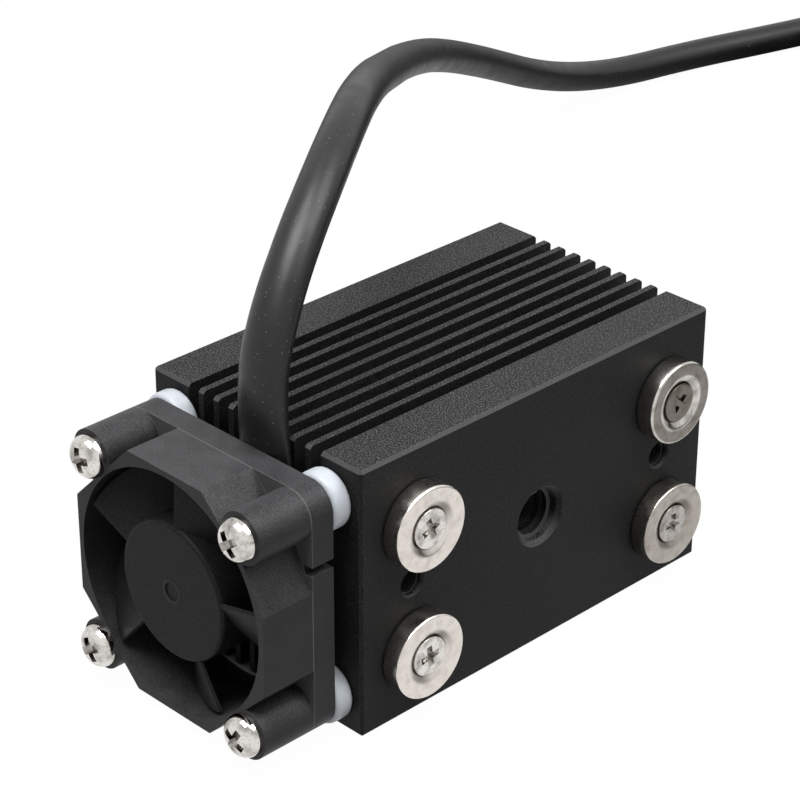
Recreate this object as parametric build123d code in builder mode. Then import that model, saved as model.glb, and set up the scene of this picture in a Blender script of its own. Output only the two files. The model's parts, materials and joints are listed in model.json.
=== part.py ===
from build123d import *

import math
import os

# Laser engraving module: a finned heatsink block that carries a laser barrel with a focus ring, a small
# axial fan on four collars, four ring magnets and one round cable.
# Millimetres, +Z up. The origin is the mouth of the tripod thread, in the middle of the +X face.
# The beam leaves along +Y, the fan is at the -Y end, and the side blocks rest on the ground.

# Heatsink body
body_width = 33.0
body_length = 55.0
body_height = 33.0
side_block_width = 6.0
core_height = 15.0
fin_count = 8
fin_thickness = 0.8
body_edge_chamfer = 0.35
barrel_bore_diameter = 12.0
pocket_width = 19.0
pocket_height = 13.0
pocket_depth = 9.0
pocket_corner_radius = 2.0

# Holes in the magnet face
tripod_thread_diameter = 6.35
tripod_thread_depth = 8.0
tripod_rim_diameter = 7.4
side_hole_diameter = 3.0
side_hole_rim_diameter = 3.5
side_hole_spacing = 40.0
side_hole_depth = 6.0
set_screw_hole_y = 12.0
set_screw_hole_diameter = 2.5
set_screw_rim_diameter = 3.0

# Ring magnets and their screws, set a little off the middle of the face
magnet_diameter = 10.0
magnet_thickness = 2.5
magnet_edge_chamfer = 0.25
magnet_hole_diameter = 3.0
magnet_dish_diameter = 6.6
magnet_seat_diameter = 4.8
magnet_seat_depth = 0.6
magnet_spacing_y = 40.0
magnet_spacing_z = 16.0
magnet_shift_y = 0.5
magnet_shift_z = -0.5
magnet_screw_diameter = 2.5
magnet_screw_head_diameter = 4.7
magnet_screw_rim_length = 0.4
magnet_screw_length = 6.0
magnet_screw_hole_depth = 5.2

# Fan frame
fan_size = 30.0
fan_depth = 10.0
fan_flange_thickness = 3.0
fan_corner_radius = 3.0
fan_hole_spacing = 24.0
fan_hole_diameter = 3.2
fan_bore_diameter = 28.6
duct_flat_half_length = 5.95
duct_edge_radius = 0.3
duct_recess_start = 3.6
duct_recess_x = 12.5
duct_recess_z = 8.55
duct_recess_end_x = 11.74
lead_slot_bottom = 5.6
lead_slot_top = 6.7
lead_slot_depth = 1.4
base_disc_diameter = 16.0
base_disc_thickness = 1.2
strut_width = 1.4
strut_depth = 1.6
strut_count = 4
strut_angle = 45.0
lead_notch_x = -5.2
lead_notch_z = -2.0
lead_notch_width = 2.6
lead_notch_height = 1.4

# Impeller and fan motor
hub_diameter = 16.4
hub_wall = 0.9
hub_recess = 0.45
hub_edge_radius = 0.5
hub_dimple_diameter = 2.2
hub_dimple_depth = 0.15
rotor_end_clearance = 0.6
blade_count = 5
blade_thickness = 0.8
blade_tip_clearance = 0.45
blade_end_clearance = 0.6
blade_sweep = 52.0
blade_camber = 0.9
blade_front_angle = 13.6
yoke_thickness = 0.5
rotor_magnet_thickness = 1.1
rotor_magnet_length = 5.6
air_gap = 0.3
shaft_diameter = 1.5
bearing_diameter = 3.0
bearing_length = 6.0
bearing_clearance = 0.03
bearing_tube_wall = 0.5
stator_stack = 3.0
stator_tooth_width = 1.6
stator_shoe_thickness = 0.9
coil_winding_thickness = 0.8
fan_board_thickness = 0.8
hall_sensor_radius = 4.4
hall_sensor_size = 1.6
hall_sensor_height = 0.8
shaft_boss_wall = 1.1
clip_groove_depth = 0.2
clip_thickness = 0.3
clip_diameter = 2.8

# Collars and screws of the fan
spacer_diameter = 6.8
spacer_length = 2.5
spacer_hole_diameter = 3.3
spacer_edge_chamfer = 0.35
fan_screw_diameter = 2.9
fan_screw_root_diameter = 2.46
fan_screw_tapped_diameter = 2.5
fan_screw_length = 20.0
fan_screw_hole_depth = 8.5
fan_screw_head_diameter = 5.0
fan_screw_head_height = 1.9

# Laser barrel and what it holds
barrel_length = 35.0
lens_tunnel_length = 17.0
lens_thread_diameter = 9.0
aperture_web = 1.5
aperture_diameter = 7.2
barrel_rear_bore_diameter = 9.7
diode_base_diameter = 9.0
diode_base_thickness = 1.5
diode_can_diameter = 6.4
diode_can_height = 3.4
diode_can_wall = 0.3
diode_window_diameter = 5.0
diode_window_thickness = 0.4
diode_beam_hole_diameter = 2.8
diode_pin_diameter = 0.45
diode_pin_circle_diameter = 2.54
diode_pin_length = 6.0
retaining_ring_thickness = 2.0
retaining_ring_hole_diameter = 6.0
focus_stem_length = 10.6
focus_head_gap = 0.6
focus_head_diameter = 14.0
focus_head_length = 4.5
focus_flute_count = 24
focus_flute_depth = 0.4
lens_diameter = 7.0
lens_edge_thickness = 1.6
lens_crown = 1.0
lens_shoulder = 0.4
lens_depth = 4.2
spring_wire_diameter = 0.5
spring_turns = 3.0
set_screw_diameter = 2.42
set_screw_length = 5.0
set_screw_key_size = 1.3
set_screw_key_depth = 2.0

# Driver board in the pocket; places on it are (x, z) from the laser axis
board_thickness = 1.2
board_setback = 4.9
inductor_size = 5.0
inductor_height = 2.8
inductor_corner_radius = 0.8
inductor_cap_diameter = 3.8
inductor_cap_depth = 0.35
inductor_place = (-4.6, 2.6)
chip_length = 4.9
chip_width = 3.9
chip_height = 1.5
chip_foot_height = 0.15
chip_pin_pitch = 1.27
chip_pin_width = 0.4
chip_pin_length = 1.1
chip_pin_height = 0.75
chip_pins_a_side = 4
chip_place = (3.4, -3.2)
capacitor_diameter = 4.0
capacitor_height = 4.6
capacitor_edge_chamfer = 0.3
capacitor_foot_size = 4.3
capacitor_foot_height = 0.8
capacitor_place = (6.6, 2.9)
trim_pot_size = 3.4
trim_pot_height = 1.2
trim_pot_dial_diameter = 2.7
trim_pot_dial_height = 0.5
trim_pot_slot_length = 2.0
trim_pot_slot_width = 0.5
trim_pot_place = (-1.1, -3.6)
fan_socket_width = 4.6
fan_socket_depth = 3.4
fan_socket_height = 3.2
fan_socket_wall = 0.5
fan_socket_place = (-5.6, -3.4)

# Soft wires, drawn with few sides because they are thin
wire_sides = 8
fan_wire_diameter = 0.8
fan_wire_pitch = 1.1
supply_wire_diameter = 1.0
supply_wire_pitch = 1.5
supply_wire_pad_place = (1.1, 4.9)
supply_wire_drop = 1.3
diode_wire_diameter = 0.9
diode_wire_pad_place = (1.8, -0.9)

# Cable, its coil, tie and plug
cable_diameter = 4.8
cable_exit_shift = 3.3
jacket_flat_width = 7.8
jacket_flat_thickness = 2.4
jacket_end_z = 10.4
jacket_flat_top_z = 16.6
jacket_round_z = 18.0
coil_centre = (-61.0, 192.0)
coil_middle_diameter = 54.0
coil_columns = 2
coil_rows = 2
coil_corner_chamfer = 1.7
coil_lift = 0.7
tie_width = 2.5
tie_thickness = 0.6
tie_corner_radius = 2.0
tie_head_size = 4.2
tie_head_width = 4.0
tie_angle = 60.0
plug_width = 9.8
plug_height = 5.6
plug_length = 13.0
plug_corner_radius = 0.8
plug_boot_length = 11.0
plug_boot_wall = 0.3
plug_boot_end_width = 7.8
plug_boot_end_height = 5.0
contact_count = 3
contact_pitch = 2.54
contact_hole_size = 1.2
contact_size = 1.0
contact_wall = 0.2
contact_recess = 1.0
contact_length = 6.0

# Fits between pieces
press_gap = 0.02
slide_gap = 0.05
edge_gap = 0.3

# Places that follow from the sizes
axis_x = -body_width / 2
cable_exit_x = axis_x + cable_exit_shift
ground_z = -body_height / 2
fan_end_y = -body_length / 2
lens_end_y = body_length / 2
fan_rear_y = fan_end_y - spacer_length
fan_front_y = fan_rear_y - fan_depth
fan_flange_front_y = fan_rear_y - fan_flange_thickness
slot_depth = (body_height - core_height) / 2
base_disc_front_y = fan_rear_y - base_disc_thickness
bearing_tube_radius = bearing_diameter / 2 + bearing_tube_wall
strut_inner = base_disc_diameter / 2 - edge_gap
strut_outer = fan_bore_diameter / 2 + edge_gap
hub_front_y = fan_front_y + hub_recess
hub_rear_y = base_disc_front_y - rotor_end_clearance
blade_front_y = hub_front_y + edge_gap / 2
blade_rear_y = fan_rear_y - strut_depth - blade_end_clearance
blade_tip_radius = fan_bore_diameter / 2 - blade_tip_clearance
blade_middle = math.radians(blade_front_angle - blade_sweep / 2)
yoke_radius = hub_diameter / 2 - hub_wall - press_gap
yoke_front_y = hub_front_y + hub_wall
yoke_rear_y = hub_rear_y - edge_gap
rotor_magnet_radius = yoke_radius - yoke_thickness - press_gap
fan_board_radius = yoke_radius - yoke_thickness - 2 * edge_gap
stator_rear_y = base_disc_front_y - fan_board_thickness - edge_gap - coil_winding_thickness
boss_radius = shaft_diameter / 2 + shaft_boss_wall
boss_end_y = base_disc_front_y - bearing_length - edge_gap
shaft_front_y = hub_front_y + hub_wall / 2
clip_groove_radius = shaft_diameter / 2 - clip_groove_depth
clip_front_y = base_disc_front_y + slide_gap
shaft_rear_y = clip_front_y + 2 * clip_thickness
barrel_radius = barrel_bore_diameter / 2 - press_gap
barrel_rear_y = lens_end_y - barrel_length
web_front_y = lens_end_y - lens_tunnel_length
diode_front_y = web_front_y - aperture_web
diode_rear_y = diode_front_y - diode_base_thickness
board_front_y = fan_end_y + board_setback
board_rear_y = board_front_y + board_thickness
gap_middle_y = (fan_end_y + fan_rear_y) / 2
post_reach = fan_hole_spacing / 2
fin_gap = (body_width - 2 * side_block_width - fin_count * fin_thickness) / (fin_count + 1)

laser_axis = Axis((axis_x, 0, 0), (0, 1, 0))
lathe_plane = Plane(origin=(axis_x, 0, 0), x_dir=(1, 0, 0), z_dir=(0, 0, 1))
magnet_face = Plane(origin=(0, 0, 0), x_dir=(0, 1, 0), z_dir=(1, 0, 0))
plain_face = Plane(origin=(-body_width, 0, 0), x_dir=(0, -1, 0), z_dir=(-1, 0, 0))
lens_end_face = Plane(origin=(axis_x, lens_end_y, 0), x_dir=(1, 0, 0), z_dir=(0, 1, 0))


def facing_fan(y):
    """The plane across the laser axis at y, with its normal towards the fan and +Z up in it."""
    return Plane(origin=(axis_x, y, 0), x_dir=(1, 0, 0), z_dir=(0, -1, 0))


def turned(outline):
    """A solid turned about the laser axis, from its outline as (radius, y) points."""
    with BuildPart() as piece:
        with BuildSketch(lathe_plane):
            with BuildLine():
                Polyline(*outline, close=True)
            make_face()
        revolve(axis=laser_axis)
    return piece.part


def wire(points, diameter, bend_radius):
    """A soft wire of round section along rounded runs."""
    with BuildPart() as piece:
        with BuildLine() as route:
            FilletPolyline(*points, radius=bend_radius)
        with BuildSketch(Plane(origin=points[0], z_dir=route.line % 0)):
            RegularPolygon(diameter / 2, wire_sides)
        sweep()
    return piece.part


os.makedirs("parts", exist_ok=True)


def save(piece, name):
    """Label a finished sub-part and write its STEP file."""
    piece.part.label = name
    export_step(piece.part, f"parts/{name}.step")


# Heatsink body: one extrusion with fins above and below a solid core
with BuildPart() as heatsink_body:
    with BuildSketch(Plane.XZ):
        with Locations((axis_x, 0)):
            Rectangle(body_width, body_height)
        for side in (1, -1):
            with Locations((axis_x, side * (core_height + slot_depth) / 2)):
                with GridLocations(fin_gap + fin_thickness, 1, fin_count + 1, 1):
                    Rectangle(fin_gap, slot_depth, mode=Mode.SUBTRACT)
    extrude(amount=body_length / 2, both=True)

    # Tumbled edges: the ends of the fins and blocks, and the outer edges of the blocks
    across = heatsink_body.edges().filter_by(Axis.X).group_by(Axis.Z)
    along = heatsink_body.edges().filter_by(Axis.Y).group_by(Axis.X)
    upright = heatsink_body.edges().filter_by(Axis.Z).group_by(Axis.X)
    outer_edges = across[0] + across[-1] + along[0] + along[-1] + upright[0] + upright[-1]
    chamfer(outer_edges, body_edge_chamfer)

    # Bore of the laser barrel, right through, and the milled pocket of the driver at the fan end
    with Locations(lens_end_face):
        Hole(barrel_bore_diameter / 2, depth=body_length)
    with BuildSketch(facing_fan(fan_end_y)):
        RectangleRounded(pocket_width, pocket_height, pocket_corner_radius)
    extrude(amount=-pocket_depth, mode=Mode.SUBTRACT)

    # Tapped holes of the fan screws
    with Locations(facing_fan(fan_end_y)):
        with GridLocations(fan_hole_spacing, fan_hole_spacing, 2, 2):
            Hole(fan_screw_tapped_diameter / 2, depth=fan_screw_hole_depth)

    # Magnet face: tripod thread, two side holes and the holes of the magnet screws
    with Locations(magnet_face):
        CounterSinkHole(tripod_thread_diameter / 2, tripod_rim_diameter / 2, tripod_thread_depth, 90)
        with GridLocations(side_hole_spacing, 1, 2, 1):
            CounterSinkHole(side_hole_diameter / 2, side_hole_rim_diameter / 2, side_hole_depth, 90)
        with Locations((magnet_shift_y, magnet_shift_z)):
            with GridLocations(magnet_spacing_y, magnet_spacing_z, 2, 2):
                Hole(magnet_screw_diameter / 2 + press_gap, depth=magnet_screw_hole_depth)

    # Plain face: the hole of the set screw, through to the barrel
    with Locations(plain_face):
        with Locations((-set_screw_hole_y, 0)):
            CounterSinkHole(set_screw_hole_diameter / 2, set_screw_rim_diameter / 2, body_width / 2, 90)
save(heatsink_body, "heatsink_body")


# Ring magnets on the +X face: a flat ring, a shallow dish in it and the cone of the screw below
def ring_magnet(y, z):
    seat_x = magnet_thickness - magnet_seat_depth
    cone_x = seat_x - (magnet_seat_diameter - magnet_hole_diameter) / 2
    with BuildPart() as magnet:
        with BuildSketch(Plane(origin=(0, y, z), x_dir=(1, 0, 0), z_dir=(0, 0, -1))):
            Polygon(
                (0, -magnet_hole_diameter / 2),
                (cone_x, -magnet_hole_diameter / 2),
                (seat_x, -magnet_seat_diameter / 2),
                (magnet_thickness, -magnet_dish_diameter / 2),
                (magnet_thickness, -magnet_diameter / 2 + magnet_edge_chamfer),
                (magnet_thickness - magnet_edge_chamfer, -magnet_diameter / 2),
                (magnet_edge_chamfer, -magnet_diameter / 2),
                (0, -magnet_diameter / 2 + magnet_edge_chamfer),
                align=None,
            )
        revolve(axis=Axis((0, y, z), (1, 0, 0)))
    return magnet


magnet_places = {
    "near_upper": (-magnet_spacing_y / 2 + magnet_shift_y, magnet_spacing_z / 2 + magnet_shift_z),
    "near_lower": (-magnet_spacing_y / 2 + magnet_shift_y, -magnet_spacing_z / 2 + magnet_shift_z),
    "far_upper": (magnet_spacing_y / 2 + magnet_shift_y, magnet_spacing_z / 2 + magnet_shift_z),
    "far_lower": (magnet_spacing_y / 2 + magnet_shift_y, -magnet_spacing_z / 2 + magnet_shift_z),
}
for place, (magnet_y, magnet_z) in magnet_places.items():
    save(ring_magnet(magnet_y, magnet_z), f"ring_magnet_{place}")

# Countersunk screws of the magnets: each head stands on the cone of its ring, its top just below the face
head_rim_x = magnet_thickness - magnet_seat_depth - (magnet_seat_diameter - magnet_screw_head_diameter) / 2
cone_height = (magnet_screw_head_diameter - magnet_screw_diameter) / 2
with BuildPart() as magnet_screws:
    for magnet_y, magnet_z in magnet_places.values():
        seat = Plane(origin=(0, magnet_y, magnet_z), x_dir=(0, 1, 0), z_dir=(1, 0, 0))
        with BuildSketch(seat.offset(head_rim_x - press_gap)):
            Circle(magnet_screw_head_diameter / 2 - press_gap)
        extrude(amount=magnet_screw_rim_length)
        with BuildSketch(seat.offset(head_rim_x - press_gap)):
            Circle(magnet_screw_head_diameter / 2 - press_gap)
        with BuildSketch(seat.offset(head_rim_x - press_gap - cone_height)):
            Circle(magnet_screw_diameter / 2 - press_gap)
        loft()
        with BuildSketch(seat.offset(head_rim_x - press_gap - cone_height)):
            Circle(magnet_screw_diameter / 2 - press_gap)
        extrude(amount=-(magnet_screw_length - cone_height))
save(magnet_screws, "magnet_screws")

# Fan frame: square flange, eight-sided duct and four corner posts in one moulding
duct_half = fan_size / 2
duct_recess_end_z = duct_half + duct_flat_half_length - duct_recess_end_x
with BuildPart() as fan_housing:
    with BuildSketch(facing_fan(fan_rear_y)):
        RectangleRounded(fan_size, fan_size, fan_corner_radius)
    extrude(amount=fan_flange_thickness)
    with BuildSketch(facing_fan(fan_flange_front_y)):
        with BuildLine():
            FilletPolyline(
                (duct_half, duct_recess_start),
                (duct_recess_x, duct_recess_z),
                (duct_recess_end_x, duct_recess_end_z),
                (duct_flat_half_length, duct_half),
                (-duct_flat_half_length, duct_half),
                (-duct_half, duct_flat_half_length),
                (-duct_half, -duct_flat_half_length),
                (-duct_flat_half_length, -duct_half),
                (duct_flat_half_length, -duct_half),
                (duct_half, -duct_flat_half_length),
                radius=duct_edge_radius,
                close=True,
            )
        make_face()
        with GridLocations(fan_hole_spacing, fan_hole_spacing, 2, 2):
            Circle(fan_corner_radius)
    extrude(amount=fan_depth - fan_flange_thickness)

    # Round duct, then the base disc and its struts back inside it, level with the rear of the flange
    with BuildSketch(facing_fan(fan_rear_y)):
        Circle(fan_bore_diameter / 2)
    extrude(amount=fan_depth, mode=Mode.SUBTRACT)
    with BuildSketch(facing_fan(fan_rear_y)):
        with PolarLocations((strut_inner + strut_outer) / 2, strut_count, strut_angle):
            Rectangle(strut_outer - strut_inner, strut_width)
    extrude(amount=strut_depth)
    with BuildSketch(facing_fan(fan_rear_y)):
        Circle(base_disc_diameter / 2)
    extrude(amount=base_disc_thickness)
    with BuildSketch(facing_fan(base_disc_front_y)):
        Circle(bearing_tube_radius)
    extrude(amount=bearing_length)
    with BuildSketch(facing_fan(fan_rear_y)):
        Circle(bearing_diameter / 2 + press_gap)
        with Locations((lead_notch_x, lead_notch_z)):
            Rectangle(lead_notch_width, lead_notch_height)
    extrude(amount=fan_depth, mode=Mode.SUBTRACT)

    # Screw holes down the posts, and a slot in the flange for leads that would run out sideways
    with BuildSketch(facing_fan(fan_rear_y)):
        with GridLocations(fan_hole_spacing, fan_hole_spacing, 2, 2):
            Circle(fan_hole_diameter / 2)
    extrude(amount=fan_depth, mode=Mode.SUBTRACT)
    with BuildSketch(facing_fan(fan_rear_y)):
        with Locations((duct_half - lead_slot_depth / 2, (lead_slot_bottom + lead_slot_top) / 2)):
            Rectangle(lead_slot_depth, lead_slot_top - lead_slot_bottom)
    extrude(amount=fan_flange_thickness, mode=Mode.SUBTRACT)
save(fan_housing, "fan_housing")

# Impeller: a moulded cup with five swept blades
hub_radius = hub_diameter / 2
hub_inner_radius = hub_radius - hub_wall
with BuildPart() as blade:
    for section_radius in (hub_radius * 0.7, blade_tip_radius * 1.03):
        half_width = section_radius * math.tan(math.radians(blade_sweep / 2))
        half_depth = (blade_rear_y - blade_front_y) / 2
        chord = math.hypot(half_width, half_depth)
        lean = Vector(-half_depth, half_width) * (1 / chord)
        front = Vector(half_width, half_depth)
        belly = lean * blade_camber
        skin = lean * (blade_thickness / 2)
        tip = lean * (blade_thickness / 4)
        section_plane = Plane(
            origin=(
                axis_x + section_radius * math.cos(blade_middle),
                (blade_front_y + blade_rear_y) / 2,
                section_radius * math.sin(blade_middle),
            ),
            x_dir=(-math.sin(blade_middle), 0, math.cos(blade_middle)),
            z_dir=(math.cos(blade_middle), 0, math.sin(blade_middle)),
        )
        with BuildSketch(section_plane):
            with BuildLine():
                ThreePointArc(front + tip, belly + skin, -front + tip)
                Line(-front + tip, -front - tip)
                ThreePointArc(-front - tip, belly - skin, front - tip)
                Line(front - tip, front + tip)
            make_face()
    loft()
    with BuildSketch(facing_fan(fan_rear_y)):
        Circle(blade_tip_radius)
        Circle(hub_radius - hub_wall / 2, mode=Mode.SUBTRACT)
    extrude(amount=fan_depth, mode=Mode.INTERSECT)

with BuildPart() as fan_impeller:
    with BuildSketch(lathe_plane):
        with BuildLine():
            Polyline(
                (0, hub_front_y),
                (hub_radius, hub_front_y),
                (hub_radius, hub_rear_y),
                (hub_inner_radius, hub_rear_y),
                (hub_inner_radius, hub_front_y + hub_wall),
                (boss_radius, hub_front_y + hub_wall),
                (boss_radius, boss_end_y),
                (shaft_diameter / 2 + press_gap, boss_end_y),
                (shaft_diameter / 2 + press_gap, shaft_front_y - press_gap),
                (0, shaft_front_y - press_gap),
                close=True,
            )
        make_face()
    revolve(axis=laser_axis)
    fillet(fan_impeller.edges().group_by(Axis.Y)[0], hub_edge_radius)
    with BuildSketch(facing_fan(hub_front_y)):
        Circle(hub_dimple_diameter / 2)
    extrude(amount=-hub_dimple_depth, mode=Mode.SUBTRACT)
    for turn in range(blade_count):
        add(blade.part.rotate(laser_axis, turn * 360 / blade_count))
save(fan_impeller, "fan_impeller")

# Fan motor: steel cup and ring magnet in the hub, shaft in a sleeve bearing, stator on the tube
with BuildPart() as rotor_yoke:
    add(
        turned(
            [
                (boss_radius + edge_gap, yoke_front_y),
                (yoke_radius, yoke_front_y),
                (yoke_radius, yoke_rear_y),
                (yoke_radius - yoke_thickness, yoke_rear_y),
                (yoke_radius - yoke_thickness, yoke_front_y + yoke_thickness),
                (boss_radius + edge_gap, yoke_front_y + yoke_thickness),
            ]
        )
    )
save(rotor_yoke, "rotor_yoke")

with BuildPart() as rotor_magnet:
    with BuildSketch(facing_fan(yoke_rear_y - edge_gap)):
        Circle(rotor_magnet_radius)
        Circle(rotor_magnet_radius - rotor_magnet_thickness, mode=Mode.SUBTRACT)
    extrude(amount=rotor_magnet_length)
save(rotor_magnet, "rotor_magnet")

with BuildPart() as fan_shaft:
    add(
        turned(
            [
                (0, shaft_front_y),
                (shaft_diameter / 2, shaft_front_y),
                (shaft_diameter / 2, clip_front_y),
                (clip_groove_radius, clip_front_y),
                (clip_groove_radius, clip_front_y + clip_thickness),
                (shaft_diameter / 2, clip_front_y + clip_thickness),
                (shaft_diameter / 2, shaft_rear_y),
                (0, shaft_rear_y),
            ]
        )
    )
save(fan_shaft, "fan_shaft")

with BuildPart() as fan_bearing:
    with BuildSketch(facing_fan(base_disc_front_y)):
        Circle(bearing_diameter / 2)
        Circle(shaft_diameter / 2 + bearing_clearance, mode=Mode.SUBTRACT)
    extrude(amount=bearing_length)
save(fan_bearing, "fan_bearing")

with BuildPart() as shaft_clip:
    with BuildSketch(facing_fan(clip_front_y + clip_thickness - press_gap)):
        Circle(clip_diameter / 2)
        Circle(clip_groove_radius + press_gap, mode=Mode.SUBTRACT)
        with Locations((clip_diameter / 2, 0)):
            Rectangle(clip_diameter, clip_groove_radius, mode=Mode.SUBTRACT)
    extrude(amount=clip_thickness - 2 * press_gap)
save(shaft_clip, "shaft_clip")

stator_radius = rotor_magnet_radius - rotor_magnet_thickness - air_gap
stator_hub_radius = bearing_tube_radius + stator_shoe_thickness
shoe_inner_radius = stator_radius - stator_shoe_thickness
coil_half_width = stator_tooth_width / 2 + coil_winding_thickness
coil_root = stator_hub_radius + slide_gap
coil_end = math.sqrt((shoe_inner_radius - slide_gap) ** 2 - coil_half_width**2)
with BuildPart() as stator_core:
    with BuildSketch(facing_fan(stator_rear_y)):
        Circle(stator_radius)
        Circle(shoe_inner_radius, mode=Mode.SUBTRACT)
        with PolarLocations(stator_radius, 4, 45):
            Rectangle(2 * stator_shoe_thickness + stator_radius / 2, stator_tooth_width, mode=Mode.SUBTRACT)
        with PolarLocations(stator_radius / 2, 4):
            Rectangle(stator_radius - stator_shoe_thickness, stator_tooth_width)
        Circle(stator_hub_radius)
        Circle(bearing_tube_radius + press_gap, mode=Mode.SUBTRACT)
    extrude(amount=stator_stack)
save(stator_core, "stator_core")

with BuildPart() as stator_coils:
    for turn in range(4):
        tooth_angle = math.radians(turn * 90)
        tooth_root = Plane(
            origin=(
                axis_x + coil_root * math.cos(tooth_angle),
                stator_rear_y - stator_stack / 2,
                coil_root * math.sin(tooth_angle),
            ),
            x_dir=(-math.sin(tooth_angle), 0, math.cos(tooth_angle)),
            z_dir=(math.cos(tooth_angle), 0, math.sin(tooth_angle)),
        )
        with BuildSketch(tooth_root):
            Rectangle(2 * coil_half_width, stator_stack + 2 * coil_winding_thickness)
            Rectangle(stator_tooth_width + 2 * press_gap, stator_stack + 2 * press_gap, mode=Mode.SUBTRACT)
        extrude(amount=coil_end - coil_root)
save(stator_coils, "stator_coils")

with BuildPart() as fan_circuit_board:
    with BuildSketch(facing_fan(base_disc_front_y)):
        Circle(fan_board_radius)
        Circle(bearing_tube_radius + press_gap, mode=Mode.SUBTRACT)
    extrude(amount=fan_board_thickness)
save(fan_circuit_board, "fan_circuit_board")

with BuildPart() as hall_sensor:
    with BuildSketch(facing_fan(base_disc_front_y - fan_board_thickness)):
        with PolarLocations(hall_sensor_radius, 1, 45):
            Rectangle(hall_sensor_height, hall_sensor_size)
    extrude(amount=hall_sensor_height)
save(hall_sensor, "hall_sensor")


# Collars between the fan and the body
def spacer(x, z):
    with BuildPart() as collar:
        with BuildSketch(facing_fan(fan_end_y)):
            with Locations((x, z)):
                Circle(spacer_diameter / 2)
        extrude(amount=spacer_length)
        chamfer(collar.edges(), spacer_edge_chamfer)
        with Locations(Plane(origin=(axis_x + x, fan_rear_y, z), z_dir=(0, -1, 0))):
            Hole(spacer_hole_diameter / 2, depth=spacer_length)
    return collar


spacer_places = {
    "magnet_side_upper": (post_reach, post_reach),
    "magnet_side_lower": (post_reach, -post_reach),
    "plain_side_upper": (-post_reach, post_reach),
    "plain_side_lower": (-post_reach, -post_reach),
}
for place, (spacer_x, spacer_z) in spacer_places.items():
    save(spacer(spacer_x, spacer_z), f"spacer_{place}")

# Pan-head screws through the fan and the collars into the body
with BuildPart() as fan_screws:
    with BuildSketch(facing_fan(fan_front_y)):
        with GridLocations(fan_hole_spacing, fan_hole_spacing, 2, 2):
            Circle(fan_screw_head_diameter / 2)
    extrude(amount=fan_screw_head_height)
    chamfer(fan_screws.edges().group_by(Axis.Y)[0], fan_screw_head_height * 0.4)
    domed_edges = fan_screws.edges().group_by(Axis.Y)
    chamfer(domed_edges[0] + domed_edges[1], fan_screw_head_height * 0.15)
    with BuildSketch(facing_fan(fan_front_y)):
        with GridLocations(fan_hole_spacing, fan_hole_spacing, 2, 2):
            Circle(fan_screw_diameter / 2)
    extrude(amount=-(fan_end_y - fan_front_y))
    with BuildSketch(facing_fan(fan_end_y)):
        with GridLocations(fan_hole_spacing, fan_hole_spacing, 2, 2):
            Circle(fan_screw_root_diameter / 2)
    extrude(amount=-(fan_screw_length - (fan_end_y - fan_front_y)))
save(fan_screws, "fan_screws")

# Laser barrel: a brass tube in the bore, level with the lens end of the body
with BuildPart() as laser_barrel:
    add(
        turned(
            [
                (barrel_radius, barrel_rear_y),
                (barrel_radius, lens_end_y),
                (lens_thread_diameter / 2, lens_end_y),
                (lens_thread_diameter / 2, web_front_y),
                (aperture_diameter / 2, web_front_y),
                (aperture_diameter / 2, diode_front_y),
                (diode_base_diameter / 2 + slide_gap, diode_front_y),
                (diode_base_diameter / 2 + slide_gap, diode_rear_y),
                (barrel_rear_bore_diameter / 2, diode_rear_y),
                (barrel_rear_bore_diameter / 2, barrel_rear_y),
            ]
        )
    )
save(laser_barrel, "laser_barrel")

can_radius = diode_can_diameter / 2
can_top_y = diode_front_y + diode_can_height
with BuildPart() as laser_diode:
    add(
        turned(
            [
                (0, diode_rear_y),
                (diode_base_diameter / 2, diode_rear_y),
                (diode_base_diameter / 2, diode_front_y),
                (can_radius, diode_front_y),
                (can_radius, can_top_y),
                (diode_beam_hole_diameter / 2, can_top_y),
                (diode_beam_hole_diameter / 2, can_top_y - diode_can_wall),
                (can_radius - diode_can_wall, can_top_y - diode_can_wall),
                (can_radius - diode_can_wall, diode_front_y),
                (0, diode_front_y),
            ]
        )
    )
    with BuildSketch(facing_fan(diode_rear_y)):
        with PolarLocations(diode_pin_circle_diameter / 2, 3, 90):
            Circle(diode_pin_diameter / 2)
    extrude(amount=diode_pin_length)
save(laser_diode, "laser_diode")

with BuildPart() as diode_window:
    with BuildSketch(facing_fan(can_top_y - diode_can_wall)):
        Circle(diode_window_diameter / 2)
    extrude(amount=diode_window_thickness)
save(diode_window, "diode_window")

with BuildPart() as diode_retaining_ring:
    with BuildSketch(facing_fan(diode_rear_y)):
        Circle(barrel_rear_bore_diameter / 2 - slide_gap)
        Circle(retaining_ring_hole_diameter / 2, mode=Mode.SUBTRACT)
    extrude(amount=retaining_ring_thickness)
    with BuildSketch(facing_fan(diode_rear_y - retaining_ring_thickness)):
        Rectangle(barrel_rear_bore_diameter, retaining_ring_thickness / 2)
    extrude(amount=-retaining_ring_thickness / 2, mode=Mode.SUBTRACT)
save(diode_retaining_ring, "diode_retaining_ring")

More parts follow.
